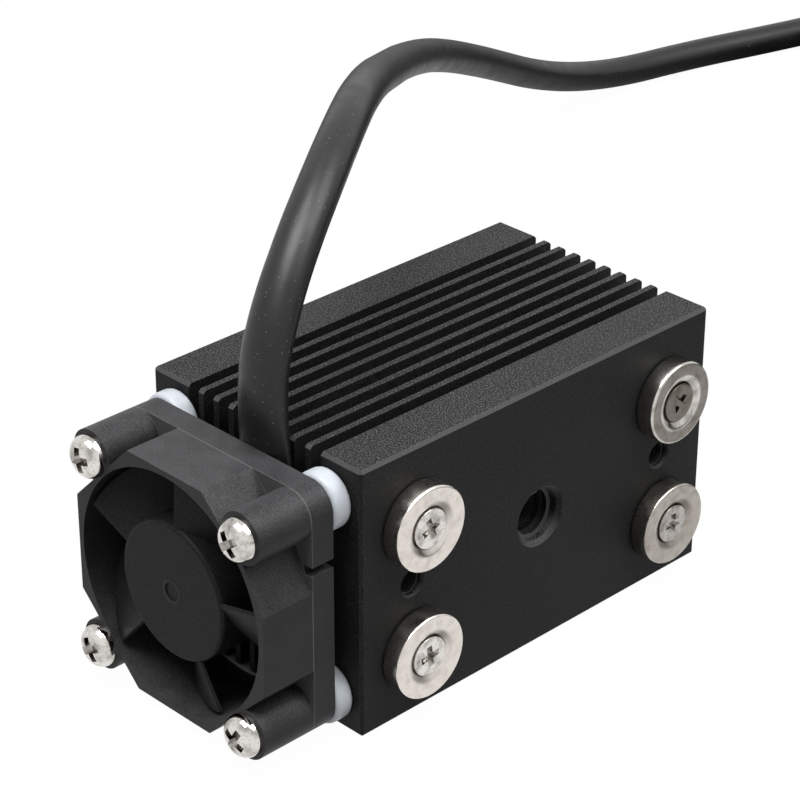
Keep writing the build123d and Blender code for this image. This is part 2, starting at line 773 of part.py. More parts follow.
# Focus ring: a fluted head on a threaded stem that holds the collimating lens
stem_radius = lens_thread_diameter / 2 - slide_gap
head_rear_y = lens_end_y + focus_head_gap
head_front_y = head_rear_y + focus_head_length
stem_rear_y = head_rear_y - focus_stem_length
lens_rear_y = head_front_y - lens_depth - lens_edge_thickness - lens_crown
lens_seat_radius = lens_diameter / 2 + slide_gap
with BuildPart() as focus_ring:
    add(
        turned(
            [
                (lens_seat_radius - lens_shoulder, stem_rear_y),
                (stem_radius, stem_rear_y),
                (stem_radius, head_rear_y),
                (focus_head_diameter / 2, head_rear_y),
                (focus_head_diameter / 2, head_front_y),
                (lens_seat_radius + lens_depth / 3, head_front_y),
                (lens_seat_radius, head_front_y - lens_depth * 2 / 3),
                (lens_seat_radius, lens_rear_y),
                (lens_seat_radius - lens_shoulder, lens_rear_y),
            ]
        )
    )
    with BuildSketch(facing_fan(head_front_y)):
        with PolarLocations(focus_head_diameter / 2, focus_flute_count):
            RegularPolygon(focus_flute_depth, 4)
    extrude(amount=focus_head_length, mode=Mode.SUBTRACT)
save(focus_ring, "focus_ring")

with BuildPart() as collimating_lens:
    with BuildSketch(lathe_plane):
        with BuildLine():
            Line((0, lens_rear_y), (lens_diameter / 2, lens_rear_y))
            Line((lens_diameter / 2, lens_rear_y), (lens_diameter / 2, lens_rear_y + lens_edge_thickness))
            SagittaArc(
                (lens_diameter / 2, lens_rear_y + lens_edge_thickness),
                (-lens_diameter / 2, lens_rear_y + lens_edge_thickness),
                -lens_crown,
            )
            Line((-lens_diameter / 2, lens_rear_y + lens_edge_thickness), (-lens_diameter / 2, lens_rear_y))
            Line((-lens_diameter / 2, lens_rear_y), (0, lens_rear_y))
        make_face()
        split(bisect_by=Plane(origin=(0, 0, 0), z_dir=(1, 0, 0)))
    revolve(axis=laser_axis)
save(collimating_lens, "collimating_lens")

spring_length = stem_rear_y - web_front_y - 2 * slide_gap
spring_radius = lens_thread_diameter / 2 - edge_gap - spring_wire_diameter / 2
with BuildPart() as lens_spring:
    with BuildLine() as spring_line:
        Helix(
            pitch=(spring_length - spring_wire_diameter) / spring_turns,
            height=spring_length - spring_wire_diameter,
            radius=spring_radius,
            center=(axis_x, web_front_y + slide_gap + spring_wire_diameter / 2, 0),
            direction=(0, 1, 0),
        )
    with BuildSketch(Plane(origin=spring_line.line @ 0, z_dir=spring_line.line % 0)):
        RegularPolygon(spring_wire_diameter / 2, 6)
    sweep(is_frenet=True)
save(lens_spring, "lens_spring")

# Set screw in the hole of the plain face, tight on the barrel
set_screw_tip = Plane(
    origin=(axis_x - barrel_radius - press_gap, set_screw_hole_y, 0),
    x_dir=(0, -1, 0),
    z_dir=(-1, 0, 0),
)
with BuildPart() as barrel_set_screw:
    with BuildSketch(set_screw_tip):
        Circle(set_screw_diameter / 2)
    extrude(amount=set_screw_length)
    with BuildSketch(set_screw_tip.offset(set_screw_length)):
        RegularPolygon(set_screw_key_size / 2, 6, major_radius=False)
    extrude(amount=-set_screw_key_depth, mode=Mode.SUBTRACT)
save(barrel_set_screw, "barrel_set_screw")

# Driver board in the pocket, its parts facing the fan
with BuildPart() as driver_board:
    with BuildSketch(facing_fan(board_rear_y)):
        RectangleRounded(
            pocket_width - 2 * edge_gap,
            pocket_height - 2 * edge_gap,
            pocket_corner_radius - edge_gap,
        )
    extrude(amount=board_thickness)
save(driver_board, "driver_board")

with BuildPart() as driver_inductor:
    with BuildSketch(facing_fan(board_front_y)):
        with Locations(inductor_place):
            RectangleRounded(inductor_size, inductor_size, inductor_corner_radius)
    extrude(amount=inductor_height)
    with BuildSketch(facing_fan(board_front_y - inductor_height)):
        with Locations(inductor_place):
            Circle(inductor_cap_diameter / 2)
    extrude(amount=-inductor_cap_depth, mode=Mode.SUBTRACT)
save(driver_inductor, "driver_inductor")

with BuildPart() as driver_chip:
    with BuildSketch(facing_fan(board_front_y - chip_foot_height)):
        with Locations(chip_place):
            Rectangle(chip_length, chip_width)
    extrude(amount=chip_height - chip_foot_height)
    with BuildSketch(facing_fan(board_front_y)):
        with Locations(chip_place):
            with GridLocations(chip_pin_pitch, chip_width + chip_pin_length / 2, chip_pins_a_side, 2):
                Rectangle(chip_pin_width, chip_pin_length)
    extrude(amount=chip_pin_height)
save(driver_chip, "driver_chip")

with BuildPart() as driver_capacitor:
    with BuildSketch(facing_fan(board_front_y)):
        with Locations(capacitor_place):
            Rectangle(capacitor_foot_size, capacitor_foot_size)
    extrude(amount=capacitor_foot_height)
    with BuildSketch(facing_fan(board_front_y)):
        with Locations(capacitor_place):
            Circle(capacitor_diameter / 2)
    extrude(amount=capacitor_height)
    chamfer(driver_capacitor.edges().group_by(Axis.Y)[0], capacitor_edge_chamfer)
save(driver_capacitor, "driver_capacitor")

with BuildPart() as trim_pot:
    with BuildSketch(facing_fan(board_front_y)):
        with Locations(trim_pot_place):
            Rectangle(trim_pot_size, trim_pot_size)
    extrude(amount=trim_pot_height)
    with BuildSketch(facing_fan(board_front_y - trim_pot_height)):
        with Locations(trim_pot_place):
            Circle(trim_pot_dial_diameter / 2)
            Rectangle(trim_pot_slot_length, trim_pot_slot_width, mode=Mode.SUBTRACT)
    extrude(amount=trim_pot_dial_height)
save(trim_pot, "trim_pot")

# Two-way socket of the fan leads, open towards the fan, with its plug in it
socket_mouth_y = board_front_y - fan_socket_height
socket_floor_y = board_front_y - fan_socket_wall
with BuildPart() as fan_socket:
    with BuildSketch(facing_fan(board_front_y)):
        with Locations(fan_socket_place):
            Rectangle(fan_socket_width, fan_socket_depth)
    extrude(amount=fan_socket_height)
    with BuildSketch(facing_fan(socket_mouth_y)):
        with Locations(fan_socket_place):
            Rectangle(fan_socket_width - 2 * fan_socket_wall, fan_socket_depth - 2 * fan_socket_wall)
    extrude(amount=socket_mouth_y - socket_floor_y, mode=Mode.SUBTRACT)
save(fan_socket, "fan_socket")

plug_top_y = socket_mouth_y - fan_socket_wall
with BuildPart() as fan_plug:
    with BuildSketch(facing_fan(socket_floor_y - press_gap)):
        with Locations(fan_socket_place):
            Rectangle(
                fan_socket_width - 2 * fan_socket_wall - 2 * slide_gap,
                fan_socket_depth - 2 * fan_socket_wall - 2 * slide_gap,
            )
    extrude(amount=socket_floor_y - press_gap - plug_top_y)
save(fan_plug, "fan_plug")

# Wires of the fan, from its circuit board out through the notch and into the plug
for wire_name, side in (("fan_wire_supply", 1), ("fan_wire_ground", -1)):
    notch_x = axis_x + lead_notch_x + side * fan_wire_pitch / 2
    plug_x = axis_x + fan_socket_place[0] + side * fan_wire_pitch / 2
    plug_z = fan_socket_place[1]
    with BuildPart() as fan_wire:
        add(
            wire(
                [
                    (notch_x, base_disc_front_y + press_gap, lead_notch_z),
                    (notch_x, fan_rear_y + fan_wire_diameter, lead_notch_z),
                    (plug_x, fan_end_y - fan_wire_diameter / 2, plug_z),
                    (plug_x, plug_top_y, plug_z),
                ],
                fan_wire_diameter,
                fan_wire_diameter,
            )
        )
    save(fan_wire, wire_name)

# Wires of the cable, from the end of its jacket down the gap and into the pocket
for wire_name, side in (("supply_wire", -1), ("ground_wire", 0), ("signal_wire", 1)):
    jacket_x = cable_exit_x + side * supply_wire_pitch
    pad_x = axis_x + supply_wire_pad_place[0] + side * supply_wire_pitch
    pad_z = supply_wire_pad_place[1]
    with BuildPart() as cable_wire:
        add(
            wire(
                [
                    (jacket_x, gap_middle_y, jacket_end_z),
                    (jacket_x, gap_middle_y, jacket_end_z - supply_wire_pitch),
                    (pad_x, gap_middle_y, pad_z + supply_wire_drop),
                    (pad_x, fan_end_y + supply_wire_drop, pad_z),
                    (pad_x, board_front_y, pad_z),
                ],
                supply_wire_diameter,
                supply_wire_diameter,
            )
        )
    save(cable_wire, wire_name)

# Wires of the laser diode, from the rear of the board through the bore to two of its pins
pin_end_y = diode_rear_y - diode_pin_length
for wire_name, side in (("diode_wire_positive", -1), ("diode_wire_negative", 1)):
    pad_x = axis_x + side * diode_wire_pad_place[0]
    pad_z = diode_wire_pad_place[1]
    pin_angle = math.radians(-90 + side * 60)
    pin_x = axis_x + diode_pin_circle_diameter / 2 * math.cos(pin_angle)
    pin_z = diode_pin_circle_diameter / 2 * math.sin(pin_angle)
    with BuildPart() as diode_wire:
        add(
            wire(
                [
                    (pad_x, board_rear_y, pad_z),
                    (pad_x, barrel_rear_y - pocket_depth, pad_z),
                    (pin_x, barrel_rear_y + diode_pin_length / 2, pin_z),
                    (pin_x, pin_end_y, pin_z),
                ],
                diode_wire_diameter,
                2 * diode_wire_diameter,
            )
        )
    save(diode_wire, wire_name)


# Cable: out of the gap between fan and fins, over the fins in one arch, down to the ground behind
def fillet_radii(points):
    """The largest arcs that the runs of a cord's route allow, one for each corner."""
    radii = []
    for before, corner, after in zip(points, points[1:], points[2:]):
        arriving = Vector(*corner) - Vector(*before)
        leaving = Vector(*after) - Vector(*corner)
        half_turn = math.radians(arriving.get_angle(leaving)) / 2
        radii.append(0.45 * min(arriving.length, leaving.length) / math.tan(half_turn))
    return radii


cable_radius = cable_diameter / 2
cable_route = [
    (-13.2, -28.75, 13.9),
    (-13.8, -28.85, 21.7),
    (-14.7, -26.4, 29.2),
    (-16.6, -21.3, 35.3),
    (-19.8, -14.3, 39.3),
    (-24.5, -6.7, 40.9),
    (-30.7, 1.4, 40.5),
    (-39.1, 11.7, 37.5),
    (-50.6, 24.9, 31.6),
    (-66.0, 43.1, 23.8),
    (-83.0, 65.9, 13.9),
    (-96.4, 89.5, 2.6),
    (-103.8, 112.1, -8.5),
    (-105.4, 130.1, -13.5),
    (-103.1, 147.5, -14.0),
    (-98.1, 165.1, -14.05),
    (-93.8, 182.1, -13.95),
    (-89.35, 199.4, -13.5),
]
cable_radii = fillet_radii(cable_route)
straight_start = Vector(*cable_route[0])
straight_end = Vector(*cable_route[1])
round_share = (jacket_round_z - straight_start.Z) / (straight_end.Z - straight_start.Z)
round_start = straight_start + (straight_end - straight_start) * round_share
flat_middle = (straight_start.X, gap_middle_y)
with BuildPart() as power_cable:
    with BuildLine() as cable_line:
        FilletPolyline(round_start, *cable_route[1:], radius=cable_radii)
    with BuildSketch(Plane(origin=round_start, z_dir=cable_line.line % 0)):
        Circle(cable_radius)
    sweep()
    tube_volume = power_cable.part.volume
    with BuildSketch(Plane.XY.offset(jacket_flat_top_z)):
        with Locations(flat_middle):
            Ellipse(jacket_flat_width / 2, jacket_flat_thickness / 2)
    with BuildSketch(Plane(origin=round_start, x_dir=(1, 0, 0), z_dir=cable_line.line % 0)):
        Circle(cable_radius)
    loft()
    with BuildSketch(Plane.XY.offset(jacket_flat_top_z)):
        with Locations(flat_middle):
            Ellipse(jacket_flat_width / 2, jacket_flat_thickness / 2)
    extrude(amount=jacket_end_z - jacket_flat_top_z)
save(power_cable, "power_cable")
tube_length = sum(edge.length for edge in cable_line.edges())
print("cable radii", [round(radius) for radius in cable_radii])
print("cable tube volume", tube_volume, "section times length", math.pi * cable_radius**2 * tube_length)
print("cable length from the gap to the coil", tube_length + (round_start - straight_start).length)

# Coil: two rows of two turns lie on each other, so the solid is a ring of the bundle's section
bundle_width = coil_columns * cable_diameter
bundle_height = coil_rows * cable_diameter
coil_middle_radius = coil_middle_diameter / 2
coil_middle_z = ground_z + coil_lift + bundle_height / 2
coil_axis = Axis((*coil_centre, 0), (0, 0, 1))
with BuildPart() as cable_coil:
    coil_plane = Plane(origin=(*coil_centre, 0), x_dir=(1, 0, 0), z_dir=(0, -1, 0))
    with BuildSketch(coil_plane) as coil_section:
        with Locations((coil_middle_radius, coil_middle_z)):
            Rectangle(bundle_width, bundle_height)
        chamfer(coil_section.vertices(), coil_corner_chamfer)
    revolve(axis=coil_axis)
save(cable_coil, "cable_coil")

# Tail: from the top of the coil down to the ground and into the plug
tail_route = [
    (-32.65, 184.6, ground_z + coil_lift + bundle_height - cable_radius),
    (-35.0, 173.6, -9.7),
    (-34.9, 162.6, -12.0),
    (-32.2, 152.3, ground_z + plug_height / 2),
    (-27.4, 143.1, ground_z + plug_height / 2),
]
tail_radii = fillet_radii(tail_route)
with BuildPart() as cable_tail:
    with BuildLine() as tail_line:
        FilletPolyline(*tail_route, radius=tail_radii)
    with BuildSketch(Plane(origin=tail_route[0], z_dir=tail_line.line % 0)):
        Circle(cable_radius)
    sweep()
save(cable_tail, "cable_tail")
tail_length = sum(edge.length for edge in tail_line.edges())
print("tail radii", [round(radius) for radius in tail_radii], "length", tail_length)

# Tie round the bundle of the coil, with its square head outside
tie_turn = math.radians(tie_angle)
tie_plane = Plane(
    origin=(
        coil_centre[0] + coil_middle_radius * math.cos(tie_turn),
        coil_centre[1] + coil_middle_radius * math.sin(tie_turn),
        coil_middle_z,
    ),
    x_dir=(math.cos(tie_turn), math.sin(tie_turn), 0),
    z_dir=(math.sin(tie_turn), -math.cos(tie_turn), 0),
)
band_inner_width = bundle_width + 2 * slide_gap
band_inner_height = bundle_height + 2 * slide_gap
head_middle = band_inner_width / 2 + tie_head_size / 2
with BuildPart() as cable_tie:
    with BuildSketch(tie_plane):
        RectangleRounded(
            band_inner_width + 2 * tie_thickness,
            band_inner_height + 2 * tie_thickness,
            tie_corner_radius + tie_thickness,
        )
        RectangleRounded(band_inner_width, band_inner_height, tie_corner_radius, mode=Mode.SUBTRACT)
    extrude(amount=tie_width / 2, both=True)
    with BuildSketch(tie_plane):
        with Locations((head_middle, 0)):
            RectangleRounded(tie_head_size, tie_head_size, tie_thickness)
    extrude(amount=tie_head_width / 2, both=True)
    with BuildSketch(tie_plane):
        with Locations((head_middle, tie_head_size)):
            Rectangle(tie_thickness, tie_head_size)
    extrude(amount=tie_width / 2, both=True)
save(cable_tie, "cable_tie")

# Plug: a moulded three-way housing with a tapered boot
plug_axis = (Vector(*tail_route[-1]) - Vector(*tail_route[-2])).normalized()
boot_plane = Plane(origin=tail_route[-1], x_dir=(-plug_axis.Y, plug_axis.X, 0), z_dir=plug_axis)
with BuildPart() as cable_plug:
    with BuildSketch(boot_plane):
        Circle(cable_radius + plug_boot_wall)
    with BuildSketch(boot_plane.offset(plug_boot_length)):
        Ellipse(plug_boot_end_width / 2, plug_boot_end_height / 2)
    loft()
    with BuildSketch(boot_plane.offset(plug_boot_length)):
        RectangleRounded(plug_width, plug_height, plug_corner_radius)
    extrude(amount=plug_length)
    with BuildSketch(boot_plane.offset(plug_boot_length + plug_length)):
        with GridLocations(contact_pitch, 1, contact_count, 1):
            Rectangle(contact_hole_size, contact_hole_size)
    extrude(amount=-(contact_recess + contact_length), mode=Mode.SUBTRACT)
save(cable_plug, "cable_plug")

with BuildPart() as plug_contacts:
    with BuildSketch(boot_plane.offset(plug_boot_length + plug_length - contact_recess)):
        with GridLocations(contact_pitch, 1, contact_count, 1):
            Rectangle(contact_size, contact_size)
            Rectangle(contact_size - 2 * contact_wall, contact_size - 2 * contact_wall, mode=Mode.SUBTRACT)
    extrude(amount=-(contact_length - press_gap))
save(plug_contacts, "plug_contacts")
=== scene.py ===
import json
import math

import bmesh
import bpy
import numpy as np
from mathutils import Matrix, Vector


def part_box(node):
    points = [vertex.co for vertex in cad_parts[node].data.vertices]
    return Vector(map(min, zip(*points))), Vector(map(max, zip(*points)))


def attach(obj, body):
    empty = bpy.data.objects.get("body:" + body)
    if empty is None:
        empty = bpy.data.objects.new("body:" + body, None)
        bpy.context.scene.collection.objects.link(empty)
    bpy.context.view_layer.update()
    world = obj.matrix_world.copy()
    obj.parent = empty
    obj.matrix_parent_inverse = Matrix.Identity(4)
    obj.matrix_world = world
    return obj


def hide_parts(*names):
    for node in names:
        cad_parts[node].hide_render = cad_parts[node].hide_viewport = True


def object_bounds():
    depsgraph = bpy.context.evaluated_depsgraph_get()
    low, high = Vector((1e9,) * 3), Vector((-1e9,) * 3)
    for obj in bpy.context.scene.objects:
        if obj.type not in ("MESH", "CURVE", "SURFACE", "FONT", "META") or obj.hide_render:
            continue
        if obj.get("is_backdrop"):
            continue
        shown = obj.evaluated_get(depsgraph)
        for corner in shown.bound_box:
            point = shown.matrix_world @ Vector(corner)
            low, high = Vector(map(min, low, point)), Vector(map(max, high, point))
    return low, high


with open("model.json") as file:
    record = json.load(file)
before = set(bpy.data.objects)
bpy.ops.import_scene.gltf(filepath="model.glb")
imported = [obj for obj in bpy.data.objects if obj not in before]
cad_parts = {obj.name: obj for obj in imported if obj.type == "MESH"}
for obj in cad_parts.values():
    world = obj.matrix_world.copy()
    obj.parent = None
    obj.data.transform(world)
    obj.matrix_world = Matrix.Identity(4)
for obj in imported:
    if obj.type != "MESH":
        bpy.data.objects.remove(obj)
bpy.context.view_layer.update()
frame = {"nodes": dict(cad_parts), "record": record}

# Looks of the laser engraving module: black anodised heatsink, moulded fan, nickel plated ring magnets,
# nylon collars, bright screws and one PVC cable. Metres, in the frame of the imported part.
MM = 0.001
nodes = frame["nodes"]
record = frame["record"]
body_of_node = {name: body for body, names in record["behaviour"]["bodies"].items() for name in names}
scene = bpy.context.scene
body_low, body_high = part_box("heatsink_body")
body_middle = (body_low + body_high) / 2
barrel_low, barrel_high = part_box("laser_barrel")
axis_x = (barrel_low.x + barrel_high.x) / 2
ground_z = body_low.z


# Camera: the photograph's view, from above and beside the fan end
camera_place = Vector((178.42, -196.78, 157.42)) * MM
camera_azimuth = 45.572
camera_elevation = 28.301
camera_roll = 0.139
camera_data = bpy.data.cameras.new("camera")
camera_data.lens = 124.72
camera_data.sensor_width = 36
camera_data.clip_start = 0.01
camera = bpy.data.objects.new("camera", camera_data)
camera.matrix_world = (
    Matrix.Translation(camera_place)
    @ Matrix.Rotation(math.radians(camera_azimuth), 4, "Z")
    @ Matrix.Rotation(math.radians(90 - camera_elevation), 4, "X")
    @ Matrix.Rotation(math.radians(camera_roll), 4, "Z")
)
scene.collection.objects.link(camera)
scene.camera = camera


# Helpers for meshes
def add_object(name, data):
    piece = bpy.data.objects.new(name, data)
    scene.collection.objects.link(piece)
    return piece


def smooth(mesh, angle):
    mesh.shade_smooth()
    mesh.set_sharp_from_angle(angle=math.radians(angle))


def clean_mesh(name, built, angle=35):
    """A mesh from a bmesh, with doubles merged, faces outwards and smooth shading up to an angle."""
    bmesh.ops.remove_doubles(built, verts=built.verts, dist=0.001 * MM)
    bmesh.ops.recalc_face_normals(built, faces=built.faces)
    mesh = bpy.data.meshes.new(name)
    built.to_mesh(mesh)
    built.free()
    smooth(mesh, angle)
    return mesh


def plain_mesh(piece, name):
    """What an object's modifiers or curve make of it, as a mesh of its own."""
    evaluated = piece.evaluated_get(bpy.context.evaluated_depsgraph_get())
    mesh = bpy.data.meshes.new_from_object(evaluated)
    mesh.name = name
    return mesh


def finished(piece, body, replaced=()):
    """A piece that rides on a body and hides the CAD nodes that it stands for."""
    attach(piece, body)
    if replaced:
        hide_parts(*replaced)
    return piece


def add_turned(built, outline, place, axis, segments, closed=True):
    """Turn an outline of (radius, height along the axis) in millimetres about an axis, in a bmesh."""
    turn_to_axis = Vector((0, 0, 1)).rotation_difference(Vector(axis)).to_matrix()
    columns = []
    for turn in range(segments):
        angle = 2 * math.pi * turn / segments
        column = [Vector((r * math.cos(angle), r * math.sin(angle), h)) * MM for r, h in outline]
        columns.append([built.verts.new(turn_to_axis @ point + Vector(place)) for point in column])
    for here, there in zip(columns, columns[1:] + columns[:1]):
        for step in range(len(outline) if closed else len(outline) - 1):
            after = (step + 1) % len(outline)
            built.faces.new((here[step], there[step], there[after], here[after]))


def rounded(outline, radius, steps=4):
    """A closed outline whose corners are arcs of the given radius, or of what its shorter side allows."""
    points = []
    for index, corner in enumerate(outline):
        here = Vector(corner)
        before = Vector(outline[index - 1]) - here
        after = Vector(outline[(index + 1) % len(outline)]) - here
        reach = min(radius, 0.45 * before.length, 0.45 * after.length)
        first = here + before.normalized() * reach
        last = here + after.normalized() * reach
        for step in range(steps + 1):
            share = step / steps
            points.append(tuple(first * (1 - share) ** 2 + here * 2 * share * (1 - share) + last * share**2))
    return points


# Helpers for node trees
def node(tree, kind, settings=None, links=None):
    """A node with its settings, and its inputs set to values or linked to sockets."""
    made = tree.nodes.new(kind)
    for key, value in (settings or {}).items():
        setattr(made, key, value)
    for key, value in (links or {}).items():
        socket = made.inputs[key]
        if isinstance(value, bpy.types.NodeSocket):
            tree.links.new(value, socket)
        else:
            socket.default_value = value
    return made


def hex_colour(code):
    """An sRGB hex colour as linear red, green, blue and alpha."""
    channels = [int(code[i : i + 2], 16) / 255 for i in (0, 2, 4)]
    linear = [c / 12.92 if c <= 0.04045 else ((c + 0.055) / 1.055) ** 2.4 for c in channels]
    return (*linear, 1.0)


def empty_tree(owner):
    """The node tree of a material or a world, with nothing in it."""
    owner.use_nodes = True
    owner.node_tree.nodes.clear()
    return owner.node_tree


def new_material(name, settings=None):
    """An empty material with its shader and the object coordinates that its patterns read."""
    material = bpy.data.materials.new(name)
    tree = empty_tree(material)
    shader = node(tree, "ShaderNodeBsdfPrincipled", links=settings)
    node(tree, "ShaderNodeOutputMaterial", links={"Surface": shader.outputs[0]})
    place = node(tree, "ShaderNodeTexCoord").outputs["Object"]
    return material, tree, shader, place


def dress(tree, shader, sockets):
    """Link a material's patterns to its shader's inputs."""
    for key, socket in sockets.items():
        tree.links.new(socket, shader.inputs[key])


# Short names for the kinds of node that come up most, and for their settings
VECTOR, PARTS = "ShaderNodeVectorMath", "ShaderNodeSeparateXYZ"
JOINED, PLACED = "ShaderNodeCombineXYZ", "GeometryNodeTransform"
TIMES, MINUS, LARGER = {"operation": "MULTIPLY"}, {"operation": "SUBTRACT"}, {"operation": "MAXIMUM"}
POWER, UNSIGNED = {"operation": "POWER"}, {"operation": "ABSOLUTE"}
TIMES_PLUS = {"operation": "MULTIPLY_ADD", "use_clamp": True}


def noise(tree, place, size, detail=2.0, distortion=0.0):
    """Noise with grains of a size in millimetres: values around 0.5."""
    sizes = {"Scale": 1 / (size * MM), "Detail": detail, "Distortion": distortion}
    return node(tree, "ShaderNodeTexNoise", links={"Vector": place} | sizes).outputs["Fac"]


def ramp(tree, value, start, end, low=0.0, high=1.0):
    """Goes from low to high while the value goes from start to end, and stays level on both sides."""
    limits = {"From Min": start, "From Max": end, "To Min": low, "To Max": high}
    return node(tree, "ShaderNodeMapRange", links={"Value": value} | limits).outputs["Result"]


def maths(tree, operation, *values):
    """An operation on values and sockets."""
    return node(tree, "ShaderNodeMath", operation, dict(enumerate(values))).outputs[0]


def blend(tree, share, first, second):
    """Two colours mixed, of which each is a hex code or a socket."""
    first, second = (hex_colour(c) if isinstance(c, str) else c for c in (first, second))
    # The mix has its sockets for colours at these places
    colours = {6: first, 7: second}
    return node(tree, "ShaderNodeMix", {"data_type": "RGBA"}, {0: share} | colours).outputs[2]


def bumpy(tree, height, depth, strength, under=None):
    """A normal with bumps of a depth in millimetres, over the bumps under them."""
    links = {"Height": height, "Distance": depth * MM, "Strength": strength}
    if under is not None:
        links["Normal"] = under
    return node(tree, "ShaderNodeBump", links=links).outputs["Normal"]


def facing_up(tree):
    """How far a surface faces up: 1 on a top, 0 on a side."""
    normal = node(tree, "ShaderNodeNewGeometry").outputs["Normal"]
    return node(tree, PARTS, links={0: normal}).outputs["Z"]


# Materials
def blasted_anodising(name, dark, light, glint_colour, glint_share, gloss, edge_highlight):
    """Aluminium, bead blasted and anodised black, with a satin oxide. Its pale flecks are painted glints of
    the blasted grain, and its pale eased edges a painted highlight.
    """
    material, tree, shader, place = new_material(name, {"Specular IOR Level": gloss})
    # Blasting leaves pits of about 0.05 mm, drawn at 0.17 mm so that they show
    pits = noise(tree, place, 0.17, detail=1.0)
    # The extruded and sawn skin below is leathery, with waves of about half a millimetre
    leather = noise(tree, place, 0.42)
    clouds = noise(tree, place, 9)
    skin = blend(tree, clouds, dark, light)
    # Pale flecks on the blasted pits: painted glints
    painted_glints = ramp(tree, pits, 0.50, 0.70, high=glint_share)
    # The painted glints are strongest on tops, where the light falls, and fainter on the sides
    up = facing_up(tree)
    glints_on_top = ramp(tree, up, 0.7, 0.95, low=0.22)
    painted_glints = maths(tree, TIMES, painted_glints, glints_on_top)
    # Rounded edges between a top and a side are painted pale, most where they slope by 45 degrees: a painted
    # highlight
    lift = maths(tree, TIMES, up, up)
    rest = maths(tree, MINUS, 1.0, lift)
    slope = maths(tree, TIMES, lift, rest)
    edge_lit = ramp(tree, slope, 0.06, 0.25)
    skin = blend(tree, edge_lit, skin, edge_highlight)
    colour = blend(tree, painted_glints, skin, glint_colour)
    rough = ramp(tree, pits, 0.3, 0.7, low=0.42, high=0.58)
    waves = bumpy(tree, leather, 0.03, 0.45)
    grain = bumpy(tree, pits, 0.02, 0.55, under=waves)
    dress(tree, shader, {"Base Color": colour, "Roughness": rough, "Normal": grain})
    return material


def eroded_pbt(name, dark, light, roughness, gloss, parting_y=None):
    """Glass filled PBT moulded in a spark eroded tool: matte dark grey. Its paler top is painted light, and a
    pale line where its halves met is a painted highlight.
    """
    material, tree, shader, place = new_material(
        name, {"Specular IOR Level": gloss, "Roughness": roughness}
    )
    # The eroded tool has craters of about 0.06 mm, drawn at 0.15 mm so that they show
    craters = noise(tree, place, 0.15, detail=1.5)
    clouds = noise(tree, place, 3)
    share = maths(tree, TIMES_PLUS, craters, 1.6, -0.62)
    share = maths(tree, TIMES_PLUS, clouds, 0.5, share)
    # The top is painted paler than the sides: painted light from above
    up = facing_up(tree)
    paler_top = ramp(tree, up, 0.1, 0.8, low=0.35)
    share = maths(tree, TIMES, share, paler_top)
    colour = blend(tree, share, dark, light)
    if parting_y is not None:
        # A pale line at the parting line: a painted highlight on the flange's front edge
        along = node(tree, PARTS, links={0: place}).outputs["Y"]
        away = maths(tree, MINUS, along, parting_y * MM)
        away = maths(tree, UNSIGNED, away)
        line = ramp(tree, away, 0.03 * MM, 0.1 * MM, low=0.5, high=0.0)
        colour = blend(tree, line, colour, "6c6c6c")
    bumps = bumpy(tree, craters, 0.02, 0.4)
    dress(tree, shader, {"Base Color": colour, "Normal": bumps})
    return material


def hub_pbt():
    """The same plastic from a smoother tool, with the faint raised ring that the gate leaves on the hub,
    which also gets a painted highlight.
    """
    material, tree, shader, place = new_material(
        "smooth_pbt", {"Specular IOR Level": 0.06, "Roughness": 0.42}
    )
    craters = noise(tree, place, 0.22, detail=1.5)
    # Distance from the fan's axis, on which the gate ring stands
    apart = node(tree, PARTS, links={0: place})
    across = maths(tree, MINUS, apart.outputs["X"], axis_x)
    flat = node(tree, JOINED, links={"X": across, "Y": apart.outputs["Z"]}).outputs[0]
    distance = node(tree, VECTOR, {"operation": "LENGTH"}, {0: flat}).outputs["Value"]
    away = maths(tree, MINUS, distance, 1.25 * MM)
    away = maths(tree, UNSIGNED, away)
    ring = ramp(tree, away, 0.05 * MM, 0.22 * MM, low=1.0, high=0.0)
    # The gate ring is also painted paler: a painted highlight on its rim
    share = maths(tree, TIMES_PLUS, ring, 0.35, craters)
    share = maths(tree, {"operation": "SUBTRACT", "use_clamp": True}, share, 0.4)
    colour = blend(tree, share, "1a1a1b", "38383a")
    raised = bumpy(tree, ring, 0.08, 0.5)
    bumps = bumpy(tree, craters, 0.01, 0.3, under=raised)
    dress(tree, shader, {"Base Color": colour, "Normal": bumps})
    return material


def barrel_nickel(name, bright, stain, stain_share, roughness):
    """Nickel plated in a tumbling barrel: warm white metal with stains and fine scratches, and painted shade
    and painted dark reflections where its attributes ask.
    """
    material, tree, shader, place = new_material(name, {"Metallic": 1.0})
    stains_and_shade = noise(tree, place, 1.3, detail=3.0)
    specks = noise(tree, place, 0.16, detail=1.0)
    share = ramp(tree, stains_and_shade, 0.42, 0.72, high=stain_share)
    specked = ramp(tree, specks, 0.58, 0.76, high=stain_share)
    share = maths(tree, LARGER, share, specked)
    colour = blend(tree, share, bright, stain)
    # Painted shade and painted dark reflections, brown like the stains: in the magnets' dishes and screw
    # seats, in the screw recesses and over the far screw heads
    painted_shade = node(tree, "ShaderNodeAttribute", {"attribute_name": "painted_shade"}).outputs["Fac"]
    painted_head_shade = node(tree, "ShaderNodeAttribute", {"attribute_name": "painted_head_shade"}).outputs["Fac"]
    painted_shade = maths(tree, LARGER, painted_shade, painted_head_shade)
    colour = blend(tree, painted_shade, colour, "4a4038")
    rough = ramp(tree, stains_and_shade, 0.3, 0.8, low=0.7 * roughness, high=1.5 * roughness)
    # Scratches and small dents lie in all directions, up to a third of a millimetre wide
    scratches = noise(tree, place, 0.35, distortion=1.5)
    bumps = bumpy(tree, scratches, 0.01, 0.3)
    dress(tree, shader, {"Base Color": colour, "Roughness": rough, "Normal": bumps})
    return material


